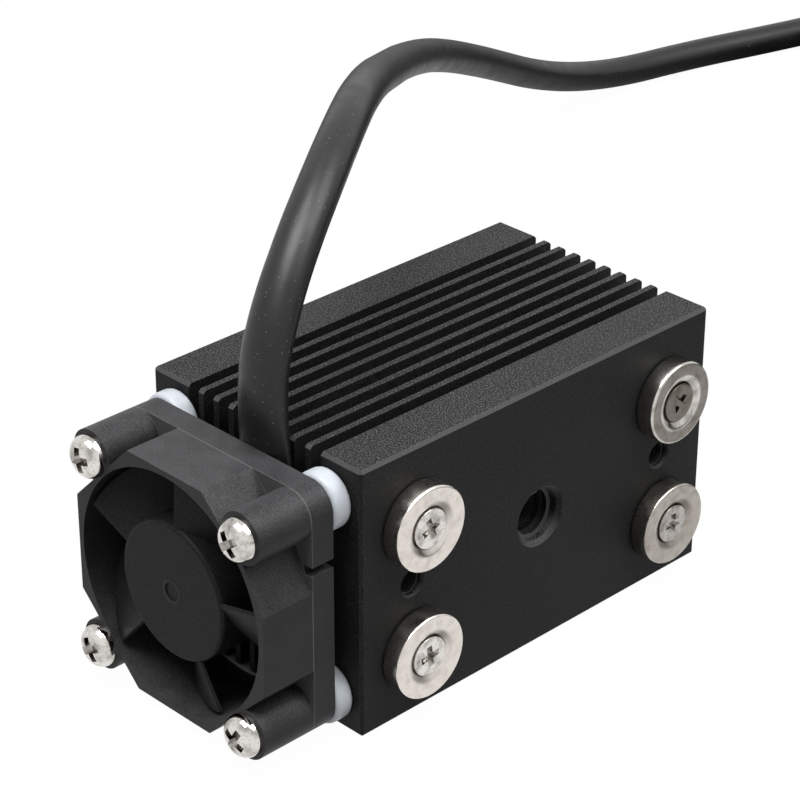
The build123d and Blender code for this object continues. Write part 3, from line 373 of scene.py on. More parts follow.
def milky_nylon():
    """Turned natural nylon: light goes some way in, so the collars look soft and white."""
    material, tree, shader, place = new_material(
        "milky_nylon",
        {
            "Roughness": 0.38,
            "Subsurface Weight": 0.4,
            "Subsurface Radius": (1.0, 1.0, 1.0),
            "Subsurface Scale": 0.8 * MM,
        },
    )
    clouds = noise(tree, place, 2.2)
    colour = blend(tree, clouds, "abb1b8", "bdc1c6")
    # Marks of the turning tool, about 0.2 mm apart
    marks = node(
        tree,
        "ShaderNodeTexWave",
        {"wave_type": "BANDS", "bands_direction": "Y"},
        {"Vector": place, "Scale": 1 / (0.6 * MM), "Distortion": 0.4},
    ).outputs["Fac"]
    bumps = bumpy(tree, marks, 0.004, 0.3)
    dress(tree, shader, {"Base Color": colour, "Normal": bumps})
    return material


def sheath_pvc():
    """Extruded PVC sheath: smooth satin black, with dust and faint marks from handling."""
    material, tree, shader, place = new_material("sheath_pvc", {"Specular IOR Level": 0.42})
    dust = noise(tree, place, 0.2, detail=0.0)
    share = ramp(tree, dust, 0.80, 0.85, high=0.6)
    colour = blend(tree, share, "0c0c0c", "8a8a88")
    wiped = noise(tree, place, 3, detail=3.0)
    rough = ramp(tree, wiped, 0.3, 0.7, low=0.34, high=0.46)
    bumps = bumpy(tree, wiped, 0.01, 0.3)
    dress(tree, shader, {"Base Color": colour, "Roughness": rough, "Normal": bumps})
    return material


def small_part(name, first, second, roughness, metallic=0.0, grain=0.4, depth=0.01):
    """A small part's finish: two close colours in a grain of a size in millimetres, a few microns deep."""
    material, tree, shader, place = new_material(name, {"Metallic": metallic, "Roughness": roughness})
    pattern = noise(tree, place, grain)
    share = ramp(tree, pattern, 0.35, 0.65)
    colour = blend(tree, share, first, second)
    bumps = bumpy(tree, pattern, depth, 0.4)
    dress(tree, shader, {"Base Color": colour, "Normal": bumps})
    return material


def coated_glass(name, tint):
    """Polished optical glass with the faint colour of its coating."""
    material, tree, shader, place = new_material(
        name, {"Roughness": 0.02, "IOR": 1.6, "Transmission Weight": 1.0}
    )
    clouds = noise(tree, place, 3, detail=1.0)
    colour = blend(tree, clouds, "ffffff", tint)
    dress(tree, shader, {"Base Color": colour})
    return material


# Where the two halves of the fan's mould met, in millimetres along Y
parting_line_y = -33.0
anodised_face = blasted_anodising("anodised_face", "161616", "1c1c1c", "727272", 0.6, 0.08, "424242")
# Paler copies of the anodising for the thread ridges and eased edges: a painted highlight where they catch
# the light
anodised_thread = blasted_anodising("anodised_thread", "343434", "404040", "505050", 0.3, 0.4, "3a3a3a")
anodised_edge = blasted_anodising("anodised_edge", "262626", "323232", "aaaaa8", 0.7, 0.3, "424242")
fan_plastic = eroded_pbt("eroded_pbt", "161617", "4e4e50", 0.46, 0.15, parting_line_y)
# Paler copy for the fan's eased edges: a painted highlight
fan_edge_plastic = eroded_pbt("eroded_pbt_edge", "29292b", "4e4e50", 0.40, 0.3)
impeller_plastic = hub_pbt()
# The near magnets take the bright copy. The far ones take darker, more stained copies of the same nickel: a
# painted shade
bright_nickel = barrel_nickel("magnet_nickel_bright", "ded8d1", "8c8176", 0.3, 0.2)
shaded_nickel = barrel_nickel("magnet_nickel_shaded", "aca69e", "70685f", 0.4, 0.26)
shaded_stained_nickel = barrel_nickel("magnet_nickel_shaded_stained", "d0ccc6", "6c665f", 0.6, 0.18)
# The screws' many dark patches are painted reflections, brown like the stains
screw_nickel = barrel_nickel("screw_nickel", "dedbd6", "5c5047", 0.75, 0.1)
nylon = milky_nylon()
pvc = sheath_pvc()

finishes = {
    "heatsink_body": anodised_face,
    "focus_ring": anodised_face,
    "fan_housing": fan_plastic,
    "fan_impeller": impeller_plastic,
    "ring_magnet_near_upper": bright_nickel,
    "ring_magnet_near_lower": bright_nickel,
    "ring_magnet_far_upper": shaded_stained_nickel,
    "ring_magnet_far_lower": shaded_nickel,
    "magnet_screws": screw_nickel,
    "fan_screws": screw_nickel,
    "power_cable": pvc,
    "cable_coil": pvc,
    "cable_tail": pvc,
    "collimating_lens": coated_glass("lens_glass", "d8e4ff"),
    "diode_window": coated_glass("window_glass", "f0f4f8"),
    # Free-cutting brass, turned: warm yellow metal with fine tool marks
    "laser_barrel": small_part("turned_brass", "c9a45c", "b8934d", 0.3, 1.0, 0.2),
    "diode_retaining_ring": small_part("ring_brass", "c7a561", "b4914b", 0.32, 1.0, 0.2),
    # Gold plated package of the diode
    "laser_diode": small_part("gilt_package", "dcb765", "caa453", 0.2, 1.0, 0.5, 0.003),
    # Drawn, ground and sheet steel of the motor, the spring and the set screw
    "rotor_yoke": small_part("drawn_steel", "9a9a9c", "8a8a8c", 0.3, 1.0),
    "fan_shaft": small_part("ground_steel", "b8b8ba", "a9a9ab", 0.15, 1.0, 0.3, 0.002),
    "lens_spring": small_part("spring_steel", "a2a3a6", "929396", 0.25, 1.0, 0.3),
    "barrel_set_screw": small_part("black_oxide_steel", "242425", "303031", 0.4, 0.8, 0.2),
    "stator_core": small_part("silicon_steel", "77797d", "696b70", 0.4, 0.9, 0.3),
    # Pressed ferrite and sintered bronze: dull and grainy
    "rotor_magnet": small_part("pressed_ferrite", "2b2c2f", "36373a", 0.7, 0.0, 0.15, 0.02),
    "fan_bearing": small_part("sintered_bronze", "8a6a3f", "75582f", 0.55, 0.7, 0.12, 0.02),
    "driver_inductor": small_part("inductor_ferrite", "33343a", "3e3f45", 0.6, 0.0, 0.2, 0.015),
    # Enamelled copper wire, which lies in ridges
    "stator_coils": small_part("enamelled_copper", "a8552a", "8d4420", 0.3, 0.6, 0.2, 0.03),
    # Glass laminate under solder mask, and moulded epoxy
    "fan_circuit_board": small_part("green_solder_mask", "12502c", "0f4526", 0.3, 0.0, 0.5),
    "driver_board": small_part("dark_solder_mask", "0d3b25", "0a301e", 0.3, 0.0, 0.5),
    "hall_sensor": small_part("sensor_epoxy", "1a1a1b", "242425", 0.5),
    "driver_chip": small_part("chip_epoxy", "1c1c1e", "262628", 0.45),
    "driver_capacitor": small_part("aluminium_can", "c2c4c8", "b2b4b8", 0.25, 1.0, 0.6, 0.004),
    # Moulded nylon and polyester of the small electrical parts
    "trim_pot": small_part("blue_polyester", "1f4fa8", "1a4492", 0.35),
    "fan_socket": small_part("socket_nylon", "dcd8c8", "cfcbba", 0.45),
    "fan_plug": small_part("plug_nylon", "e2dfd2", "d6d3c4", 0.45),
    "shaft_clip": small_part("clip_nylon", "e8e6dc", "dcdacf", 0.4),
    "cable_tie": small_part("black_nylon", "1b1b1c", "252526", 0.4),
    "cable_plug": small_part("black_filled_nylon", "202021", "2a2a2b", 0.45, 0.0, 0.25, 0.015),
    "plug_contacts": small_part("gilt_contact", "d9b25a", "c6a04c", 0.25, 1.0),
}
# Soft PVC of the thin wires
red_wire = small_part("red_wire_pvc", "a3120f", "8f0f0d", 0.35, 0.0, 0.8, 0.005)
black_wire = small_part("black_wire_pvc", "171717", "212121", 0.35, 0.0, 0.8, 0.005)
yellow_wire = small_part("yellow_wire_pvc", "c79a1c", "b68b14", 0.35, 0.0, 0.8, 0.005)
finishes |= {name: red_wire for name in ("fan_wire_supply", "supply_wire", "diode_wire_positive")}
finishes |= {name: black_wire for name in ("fan_wire_ground", "ground_wire", "diode_wire_negative")}
finishes["signal_wire"] = yellow_wire
finishes |= {name: nylon for name in nodes if name.startswith("spacer")}
for name, piece in nodes.items():
    piece.data.materials.clear()
    piece.data.materials.append(finishes[name])


# Cable: the route of the tube, the turns of the coil and the tail, on one smooth curve
cable_diameter = 4.8 * MM
# Control points in millimetres
cable_route = [
    (-13.2, -28.75, 13.9),
    (-13.8, -28.85, 21.7),
    (-14.4, -26.1, 29.2),
    (-16.2, -20.9, 35.3),
    (-19.6, -14.1, 39.3),
    (-24.5, -6.7, 40.9),
    (-30.7, 1.4, 40.5),
    (-39.1, 11.7, 37.5),
    (-50.6, 24.9, 31.6),
    (-66.0, 43.1, 23.8),
    (-83.0, 65.9, 13.9),
    (-96.4, 89.5, 2.6),
    (-103.8, 112.1, -8.5),
    (-105.4, 130.1, -13.5),
    (-103.1, 147.5, -14.0),
    (-98.1, 165.1, -14.05),
    (-93.8, 182.1, -13.95),
]
tail_route = [
    (-35.0, 173.6, -9.7),
    (-34.9, 162.6, -12.0),
    (-32.2, 152.3, -13.7),
    (-27.4, 143.1, -13.7),
]
coil_low, coil_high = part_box("cable_coil")
coil_middle = (coil_low + coil_high) / 2
coil_outer = (coil_high.x - coil_low.x) / 2 - cable_diameter / 2
coil_inner = coil_outer - cable_diameter
coil_lower = coil_low.z + cable_diameter / 2
coil_upper = coil_lower + cable_diameter
# Direction in degrees from the coil's middle to where the cable joins it, and the turns that it makes
coil_start = 165.4
coil_turns = 3.5
points_per_turn = 16
# Where each turn begins to change to the next place in the bundle, as (turns, radius, height)
coil_steps = [
    (0.0, coil_outer, coil_lower),
    (0.9, coil_outer, coil_lower),
    (1.1, coil_inner, coil_lower),
    (1.9, coil_inner, coil_lower),
    (2.1, coil_inner, coil_upper),
    (2.9, coil_inner, coil_upper),
    (3.1, coil_outer, coil_upper),
    (3.5, coil_outer, coil_upper),
]
# A control point lies outside its curve by about this share
control_share = 1 / math.cos(math.pi / points_per_turn) ** 0.5
coil_points = []
for step in range(round(coil_turns * points_per_turn) + 1):
    turns = step / points_per_turn
    radius = float(np.interp(turns, [s[0] for s in coil_steps], [s[1] for s in coil_steps])) * control_share
    height = float(np.interp(turns, [s[0] for s in coil_steps], [s[2] for s in coil_steps]))
    angle = math.radians(coil_start - 360 * turns)
    coil_points.append(
        (coil_middle.x + radius * math.cos(angle), coil_middle.y + radius * math.sin(angle), height)
    )
route_points = [Vector(p) * MM for p in cable_route]
route_points += [Vector(p) for p in coil_points]
route_points += [Vector(p) * MM for p in tail_route]

route_data = bpy.data.curves.new("cable_route", "CURVE")
route_data.dimensions = "3D"
route_data.resolution_u = 8
spline = route_data.splines.new("NURBS")
spline.points.add(len(route_points) - 1)
for point, place in zip(spline.points, route_points):
    point.co = (*place, 1.0)
spline.order_u = 3
spline.use_endpoint_u = True
route_object = add_object("cable_route", route_data)
cable_path = [v.co.copy() for v in plain_mesh(route_object, "cable_line").vertices]
bpy.data.objects.remove(route_object)

# The jacket is squeezed flat in the gap, and rounds out over the first stretch of its arch:
# distance along the cable, width and thickness, in millimetres
jacket_shape = [
    (0.0, 7.8, 2.4),
    (4.6, 7.8, 2.4),
    (7.5, 7.2, 3.2),
    (11.5, 6.4, 4.2),
    (18.0, 5.9, 4.6),
    (25.0, 5.5, 4.6),
    (45.0, 4.9, 4.8),
    (60.0, 4.8, 4.8),
]


def tube_along(name, path, shape, first_side, sides=32):
    """A tube with a changing oval section along a path, whose sections don't twist."""
    built = bmesh.new()
    rings = []
    travelled = 0.0
    side = Vector(first_side)
    for index, place in enumerate(path):
        before = path[max(index - 1, 0)]
        after = path[min(index + 1, len(path) - 1)]
        along = (after - before).normalized()
        travelled += (place - before).length / MM if index else 0.0
        side = (side - along * side.dot(along)).normalized()
        up = along.cross(side)
        width = float(np.interp(travelled, [s[0] for s in shape], [s[1] for s in shape])) * MM / 2
        thick = float(np.interp(travelled, [s[0] for s in shape], [s[2] for s in shape])) * MM / 2
        ring = []
        for turn in range(sides):
            angle = 2 * math.pi * turn / sides
            ring.append(
                built.verts.new(place + side * width * math.cos(angle) + up * thick * math.sin(angle))
            )
        rings.append(ring)
    for here, there in zip(rings, rings[1:]):
        for turn in range(sides):
            beside = (turn + 1) % sides
            built.faces.new((here[turn], here[beside], there[beside], there[turn]))
    built.faces.new(reversed(rings[0]))
    built.faces.new(rings[-1])
    return clean_mesh(name, built)


# The jacket begins where it leaves the gap, a few straight steps below the route
jacket_end_z = 10.4 * MM
start_steps = 4
exit_place = Vector((route_points[0].x, route_points[0].y, jacket_end_z))
first_step = (cable_path[0] - exit_place) / start_steps
jacket_path = [exit_place + first_step * step for step in range(start_steps)] + cable_path
jacket = tube_along("power_cable_jacket", jacket_path, jacket_shape, (1, 0, 0))
cable = add_object("power_cable_jacket", jacket)
cable.data.materials.append(pvc)
finished(cable, "root", ("power_cable", "cable_coil", "cable_tail"))


# Trees that make what repeats or follows a path
def new_tree(name, sizes, counts=()):
    """A Geometry Nodes tree whose inputs are geometry, named sizes and counts, and a material."""
    tree = bpy.data.node_groups.new(name, "GeometryNodeTree")
    kinds = {"Geometry": "NodeSocketGeometry"} | dict.fromkeys(sizes, "NodeSocketFloat")
    kinds |= dict.fromkeys(counts, "NodeSocketInt") | {"Material": "NodeSocketMaterial"}
    for label, kind in kinds.items():
        tree.interface.new_socket(label, in_out="INPUT", socket_type=kind)
    tree.interface.new_socket("Geometry", in_out="OUTPUT", socket_type="NodeSocketGeometry")
    return tree, node(tree, "NodeGroupInput").outputs


def ended_tree(tree, given, shape):
    """The tree with its end: instances made real, and dressed in the material given."""
    real = node(tree, "GeometryNodeRealizeInstances", links={"Geometry": shape}).outputs["Geometry"]
    dressed = node(tree, "GeometryNodeSetMaterial", links={"Geometry": real, "Material": given["Material"]})
    node(tree, "NodeGroupOutput", links={"Geometry": dressed.outputs["Geometry"]})
    return tree


def grown_mesh(name, carrier_mesh, tree, values, angle):
    """The plain mesh that a tree grows on a carrier, with its inputs set by their identifiers."""
    carrier = add_object(name + "_carrier", carrier_mesh)
    growth = carrier.modifiers.new(tree.name, "NODES")
    growth.node_group = tree
    sockets = {item.name: item.identifier for item in tree.interface.items_tree if item.in_out == "INPUT"}
    for label, value in values.items():
        growth[sockets[label]] = value
    mesh = plain_mesh(carrier, name)
    bpy.data.objects.remove(carrier)
    smooth(mesh, angle)
    return mesh


def helix_tree():
    """Wire of a polygonal section wound in a helix about Z: the ridge of a thread."""
    tree, given = new_tree("wound_helix", ["Radius", "Pitch", "Turns", "Wire Radius"], ["Wire Sides"])
    height = maths(tree, TIMES, given["Pitch"], given["Turns"])
    line = node(
        tree,
        "GeometryNodeCurveSpiral",
        links={
            "Resolution": 48,
            "Rotations": given["Turns"],
            "Start Radius": given["Radius"],
            "End Radius": given["Radius"],
            "Height": height,
        },
    ).outputs["Curve"]
    section = node(
        tree,
        "GeometryNodeCurvePrimitiveCircle",
        {"mode": "RADIUS"},
        {"Resolution": given["Wire Sides"], "Radius": given["Wire Radius"]},
    ).outputs["Curve"]
    wire = node(
        tree, "GeometryNodeCurveToMesh", links={"Curve": line, "Profile Curve": section, "Fill Caps": True}
    ).outputs["Mesh"]
    return ended_tree(tree, given, wire)


def screw_head_tree():
    """Screw heads on the carrier's points, domed or flat, each with a cross recess at its own angle."""
    tree, given = new_tree(
        "cross_recess_heads",
        ["Head Radius", "Head Height", "Squareness", "Recess Radius", "Recess Width", "Recess Depth"],
    )
    # A ball whose radius and height are bent to the head's profile, and cut flat below
    ball = node(
        tree, "GeometryNodeMeshUVSphere", links={"Segments": 64, "Rings": 48, "Radius": 1.0}
    ).outputs["Mesh"]
    place = node(tree, "GeometryNodeInputPosition").outputs[0]
    apart = node(tree, PARTS, links={0: place})
    flat = node(tree, JOINED, links={"X": apart.outputs["X"], "Y": apart.outputs["Y"]}).outputs[0]
    direction = node(tree, VECTOR, {"operation": "NORMALIZE"}, {0: flat}).outputs[0]
    radius = node(tree, VECTOR, {"operation": "LENGTH"}, {0: flat}).outputs["Value"]
    radius = maths(tree, POWER, radius, given["Squareness"])
    radius = maths(tree, TIMES, radius, given["Head Radius"])
    outwards = node(tree, VECTOR, {"operation": "SCALE"}, {0: direction, "Scale": radius}).outputs[0]
    height = maths(tree, LARGER, apart.outputs["Z"], 0.0)
    height = maths(tree, POWER, height, given["Squareness"])
    height = maths(tree, TIMES, height, given["Head Height"])
    upwards = node(tree, JOINED, links={"Z": height}).outputs[0]
    bent = node(tree, VECTOR, {"operation": "ADD"}, {0: outwards, 1: upwards}).outputs[0]
    head = node(
        tree, "GeometryNodeSetPosition", links={"Geometry": ball, "Position": bent}
    ).outputs["Geometry"]
    head = node(
        tree, "GeometryNodeMergeByDistance", links={"Geometry": head, "Distance": 0.0005 * MM}
    ).outputs["Geometry"]

    # Two crossed wings, narrower towards their tip, make the recess
    long_side = maths(tree, TIMES, given["Recess Radius"], 2.0)
    deep_side = maths(tree, TIMES, given["Recess Depth"], 2.0)
    size = node(tree, JOINED, links={"X": long_side, "Y": given["Recess Width"], "Z": deep_side}).outputs[0]
    wing = node(tree, "GeometryNodeMeshCube", links={"Size": size}).outputs["Mesh"]
    corner = node(tree, "GeometryNodeInputPosition").outputs[0]
    corner_parts = node(tree, PARTS, links={0: corner})
    # Below, the wing has these shares of its length and width
    tip_length, tip_width = 0.38, 0.7
    low_share = maths(tree, {"operation": "LESS_THAN"}, corner_parts.outputs["Z"], 0.0)
    shorter = maths(tree, {"operation": "MULTIPLY_ADD"}, low_share, tip_length - 1, 1.0)
    narrower = maths(tree, {"operation": "MULTIPLY_ADD"}, low_share, tip_width - 1, 1.0)
    taper = node(tree, JOINED, links={"X": shorter, "Y": narrower, "Z": 1.0}).outputs[0]
    tapered = node(tree, VECTOR, TIMES, {0: corner, 1: taper}).outputs[0]
    wing = node(
        tree, "GeometryNodeSetPosition", links={"Geometry": wing, "Position": tapered}
    ).outputs["Geometry"]
    crossed = node(
        tree, PLACED, links={"Geometry": wing, "Rotation": (0.0, 0.0, math.pi / 2)}
    ).outputs["Geometry"]
    # The cutter's middle, its full width, stands at the head's top. The recess that it leaves gets a painted
    # shade
    recess_shade = 0.45
    lifted = node(tree, JOINED, links={"Z": given["Head Height"]}).outputs[0]
    cutters = []
    for part in (wing, crossed):
        part = node(tree, PLACED, links={"Geometry": part, "Translation": lifted}).outputs["Geometry"]
        part = node(
            tree,
            "GeometryNodeStoreNamedAttribute",
            {"data_type": "FLOAT", "domain": "FACE"},
            {"Geometry": part, "Name": "painted_shade", "Value": recess_shade},
        ).outputs["Geometry"]
        cutters.append(part)
    cut = node(
        tree, "GeometryNodeMeshBoolean", {"operation": "DIFFERENCE", "solver": "EXACT"}, {"Mesh 1": head}
    )
    for part in cutters:
        tree.links.new(part, cut.inputs["Mesh 2"])
    turn = node(
        tree, "GeometryNodeInputNamedAttribute", {"data_type": "FLOAT"}, {"Name": "turn"}
    ).outputs["Attribute"]
    rotation = node(tree, JOINED, links={"Z": turn}).outputs[0]
    spread = node(
        tree,
        "GeometryNodeInstanceOnPoints",
        links={"Points": given["Geometry"], "Instance": cut.outputs["Mesh"], "Rotation": rotation},
    ).outputs["Instances"]
    return ended_tree(tree, given, spread)


def seat_points(name, seats):
    """A carrier of loose points, each with its screw's angle and how much painted shade its head gets."""
    mesh = bpy.data.meshes.new(name)
    mesh.from_pydata([place for place, turn, head_shade_share in seats], [], [])
    mesh.attributes.new("turn", "FLOAT", "POINT")
    mesh.attributes.new("painted_head_shade", "FLOAT", "POINT")
    for index, (place, turn, head_shade_share) in enumerate(seats):
        mesh.attributes["turn"].data[index].value = math.radians(turn)
        mesh.attributes["painted_head_shade"].data[index].value = head_shade_share
    return mesh


wound_helix = helix_tree()
cross_recess_heads = screw_head_tree()


# Ring magnets: a flat ring, a dish and the cone of the screw, with the rounded rims of a tumbled part.
# Each outline's point is a radius and a height in millimetres
magnet_outline = [(1.5, 0.0), (1.5, 1.0), (2.4, 2.08), (3.3, 2.5), (5.0, 2.5), (5.0, 0.0)]
magnet_rim_radius = 0.35
# How much painted shade the magnets get at some radii in millimetres, in the screw seat and the dish: on the
# near and far lower magnets, and on the far upper one, whose ring face is painted darker too
plain_magnet_shade = [(2.30, 1.0), (2.45, 0.8), (3.0, 0.65), (3.35, 0.0)]
far_upper_shade = [(2.30, 1.0), (2.45, 0.6), (3.0, 0.2), (3.3, 0.0), (3.5, 0.72), (4.66, 0.72), (4.85, 0.0)]
# The dish gets painted dark reflections most towards its upper far and its lower near side, and hardly across
# them
dark_reflection_angle = math.radians(50)
least_dark_reflection = 0.05
# The dish lies between these radii in millimetres
dish_low, dish_high = 2.44, 3.36


def paint_magnet_shade(mesh, middle, stains_and_shade):
    """Write how much painted shade and painted dark reflection each point of a magnet gets."""
    written = mesh.attributes.new("painted_shade", "FLOAT", "POINT")
    for item, vertex in zip(written.data, mesh.vertices):
        away = vertex.co - middle
        radius = math.hypot(away.y, away.z) / MM
        most = float(np.interp(radius, [r for r, share in stains_and_shade], [share for r, share in stains_and_shade]))
        turned = math.atan2(away.z, away.y) - dark_reflection_angle
        in_dish = dish_low < radius < dish_high
        dish_shade = least_dark_reflection + (1 - least_dark_reflection) * math.cos(turned) ** 4
        item.value = most * dish_shade if in_dish else most


# The angle in degrees at which each screw's recess came to rest, and how much painted shade its head gets
magnet_turns = {"near_upper": 20, "near_lower": 8, "far_upper": 45, "far_lower": 0}
magnet_head_shade = {"near_upper": 0.0, "near_lower": 0.0, "far_upper": 0.85, "far_lower": 0.45}
magnet_middles = {}
for name in magnet_turns:
    node_name = f"ring_magnet_{name}"
    low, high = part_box(node_name)
    middle = Vector((0, (low.y + high.y) / 2, (low.z + high.z) / 2))
    magnet_middles[name] = middle
    built = bmesh.new()
    add_turned(built, rounded(magnet_outline, magnet_rim_radius), middle, (1, 0, 0), segments=96)
    mesh = clean_mesh(f"magnet_{name}", built, angle=30)
    paint_magnet_shade(mesh, middle, far_upper_shade if name == "far_upper" else plain_magnet_shade)
    piece = add_object(f"magnet_{name}", mesh)
    piece.data.materials.append(finishes[node_name])
    finished(piece, "root", (node_name,))


# Screws: heads from the tree, with plain shanks below them
def screws(name, node_name, seats, axis, head, shank, tip=0.3):
    """One piece with all the screws of a kind, their heads facing along an axis and their tips chamfered."""
    radius, length = shank
    turn_to_axis = Vector((0, 0, 1)).rotation_difference(Vector(axis)).to_matrix().to_4x4()
    inverse = turn_to_axis.inverted()
    carrier = seat_points(name + "_seats", [(inverse @ Vector(p), turn, shade_of_head) for p, turn, shade_of_head in seats])
    sizes = head | {"Material": screw_nickel}
    heads = grown_mesh(name, carrier, cross_recess_heads, sizes, angle=30)
    heads.transform(turn_to_axis)
    built = bmesh.new()
    built.from_mesh(heads)
    outline = [(0.0, 0.0), (radius, 0.0), (radius, -length + tip), (radius - tip, -length), (0.0, -length)]
    for place, turn, head_shade_share in seats:
        add_turned(built, outline, place, axis, segments=24, closed=False)
    mesh = clean_mesh(name, built, angle=30)
    mesh.materials.append(screw_nickel)
    piece = add_object(name, mesh)
    return finished(piece, "root", (node_name,))


fan_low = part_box("fan_housing")[0]
fan_screw_pitch = 24.0 * MM
fan_head = {
    "Head Radius": 2.5 * MM,
    "Head Height": 1.9 * MM,
    "Squareness": 0.72,
    "Recess Radius": 2.3 * MM,
    "Recess Width": 1.05 * MM,
    "Recess Depth": 0.95 * MM,
}
# Radius and length of the shanks in millimetres
fan_shank = (1.45, 20.0)
magnet_shank = (1.25, 6.0)
# Side and level of each fan screw, and the angle at which its recess came to rest
fan_turns = [(-1, 1, 12), (1, 1, 35), (-1, -1, 28), (1, -1, 62)]
fan_seats = [
    ((axis_x + side * fan_screw_pitch / 2, fan_low.y, level * fan_screw_pitch / 2), turn, 0.0)
    for side, level, turn in fan_turns
]
screws("fan_screw_set", "fan_screws", fan_seats, (0, -1, 0), fan_head, fan_shank)

magnet_head_top = 2.33 * MM
magnet_head = {
    "Head Radius": 2.33 * MM,
    "Head Height": 0.5 * MM,
    "Squareness": 0.14,
    "Recess Radius": 1.9 * MM,
    "Recess Width": 0.95 * MM,
    "Recess Depth": 0.42 * MM,
}
magnet_seats = [
    (
        middle + Vector((magnet_head_top - magnet_head["Head Height"], 0, 0)),
        magnet_turns[name],
        magnet_head_shade[name],
    )
    for name, middle in magnet_middles.items()
]
screws("magnet_screw_set", "magnet_screws", magnet_seats, (1, 0, 0), magnet_head, magnet_shank)


# Nylon collars: turned rings with round shoulders
collar_outline = [(1.65, 0.0), (3.4, 0.0), (3.4, 2.5), (1.65, 2.5)]
collar_shoulder = 0.75
rounded_collar = rounded(collar_outline, collar_shoulder, steps=6)
for name in [n for n in nodes if n.startswith("spacer")]:
    low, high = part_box(name)
    middle = Vector(((low.x + high.x) / 2, low.y, (low.z + high.z) / 2))
    built = bmesh.new()
    add_turned(built, rounded_collar, middle, (0, 1, 0), segments=72)
    piece = add_object(name.replace("spacer", "collar"), clean_mesh(name, built, angle=60))
    piece.data.materials.append(nylon)
    finished(piece, "root", (name,))


# Thread ridges in the tripod hole and the side holes, three-sided and a little flatter than their pitch
ridge_share = 0.42
into_face = Matrix.Rotation(math.radians(-90), 4, "Y")
thread_sizes = {
    # Name of the hole: middle, radius, pitch and turns, in millimetres
    "tripod_hole_thread": ((-0.8, 0.0, 0.0), 3.22, 1.27, 5.2),
    "near_hole_thread": ((-0.5, -20.0, 0.0), 1.58, 0.5, 10.0),
    "far_hole_thread": ((-0.5, 20.0, 0.0), 1.58, 0.5, 10.0),
}
for name, (mouth, radius, pitch, turns) in thread_sizes.items():
    values = {
        "Radius": radius * MM,
        "Pitch": pitch * MM,
        "Turns": turns,
        "Wire Radius": ridge_share * pitch * MM,
        "Wire Sides": 3,
        "Material": anodised_thread,
    }
    mesh = grown_mesh(name, bpy.data.meshes.new(name + "_seed"), wound_helix, values, angle=40)
    mesh.transform(Matrix.Translation(Vector(mouth) * MM) @ into_face)
    finished(add_object(name, mesh), "root")


# Eased copies of CAD nodes: their loose triangles merged, their flats whole and their edges rounded
def eased_copy(name, bevel=0.0, angle=30, edge_material=None):
    """A copy that stands for a node. A second material on its rounded edges paints a highlight on them."""
    built = bmesh.new()
    built.from_mesh(nodes[name].data)
    bmesh.ops.remove_doubles(built, verts=built.verts, dist=0.0005 * MM)
    bmesh.ops.dissolve_limit(
        built, angle_limit=math.radians(0.5), verts=built.verts, edges=built.edges
    )
    mesh = bpy.data.meshes.new(name + "_eased")
    built.to_mesh(mesh)
    built.free()
    smooth(mesh, angle)
    mesh.materials.append(finishes[name])
    if edge_material:
        mesh.materials.append(edge_material)
    piece = add_object(name + "_eased", mesh)
    if bevel:
        rounding = piece.modifiers.new("eased edges", "BEVEL")
        rounding.width = bevel * MM
        rounding.segments = 2
        rounding.limit_method = "ANGLE"
        rounding.angle_limit = math.radians(angle)
        if edge_material:
            rounding.material = 1
        flats = piece.modifiers.new("flat faces", "WEIGHTED_NORMAL")
        flats.mode = "FACE_AREA"
        flats.weight = 100
        flats.keep_sharp = True
    return finished(piece, body_of_node[name], (name,))


# Radius of the eased edges in millimetres, and the paler finish that paints a highlight on the eased edges of
# some
eased_nodes = {
    "heatsink_body": 0.4,
    "fan_housing": 0.10,
    "fan_impeller": 0.06,
    "focus_ring": 0.10,
    "laser_barrel": 0.08,
    "cable_tie": 0.2,
    "cable_plug": 0.3,
    "plug_contacts": 0.05,
    "fan_plug": 0.08,
    "fan_socket": 0.08,
    "driver_board": 0.03,
    "driver_chip": 0.06,
    "driver_inductor": 0.1,
    "driver_capacitor": 0.1,
    "trim_pot": 0.08,
}
edge_highlight_finishes = {
    "heatsink_body": anodised_edge,
    "fan_housing": fan_edge_plastic,
    "focus_ring": anodised_edge,
}
for name, bevel in eased_nodes.items():
    eased_copy(name, bevel, edge_material=edge_highlight_finishes.get(name))
# What is round and thin gets smooth sides, and no wider edges
smooth_nodes = [n for n in nodes if "wire" in n] + [
    "collimating_lens",
    "diode_window",
    "diode_retaining_ring",
    "laser_diode",
    "rotor_yoke",
    "fan_shaft",
    "fan_bearing",
    "lens_spring",
]
for name in smooth_nodes:
    eased_copy(name, angle=50)


# Floor, white background and lamps
WHITE = (1.0, 1.0, 1.0, 1.0)
# The floor's own grey, its glow where white is 1, and the share of the glow that leaves the shadow showing
floor_grey = 0.35
floor_glow = 1.03
floor_glow_share = 0.95
# The floor is dark as far as this, where it is seen through the fan
dark_floor_x = -7 * MM
dark_floor_y = -30.5 * MM
# Behind the object the reflections of the floor fade out over this stretch, as with a black flag
flag_start_y = 60 * MM
flag_end_y = 160 * MM
# The world's light on matte surfaces, where white is 1
world_fill = 0.26
# Width of the square lamps in metres
lamp_size = 0.42


def seen_rays(tree, path):
    """1 for the camera, in reflections and through glass, and 0 for the light that falls on other things."""
    seen = 0.0
    for ray in ("Is Camera Ray", "Is Glossy Ray", "Is Transmission Ray"):
        seen = maths(tree, LARGER, seen, path[ray])
    return seen


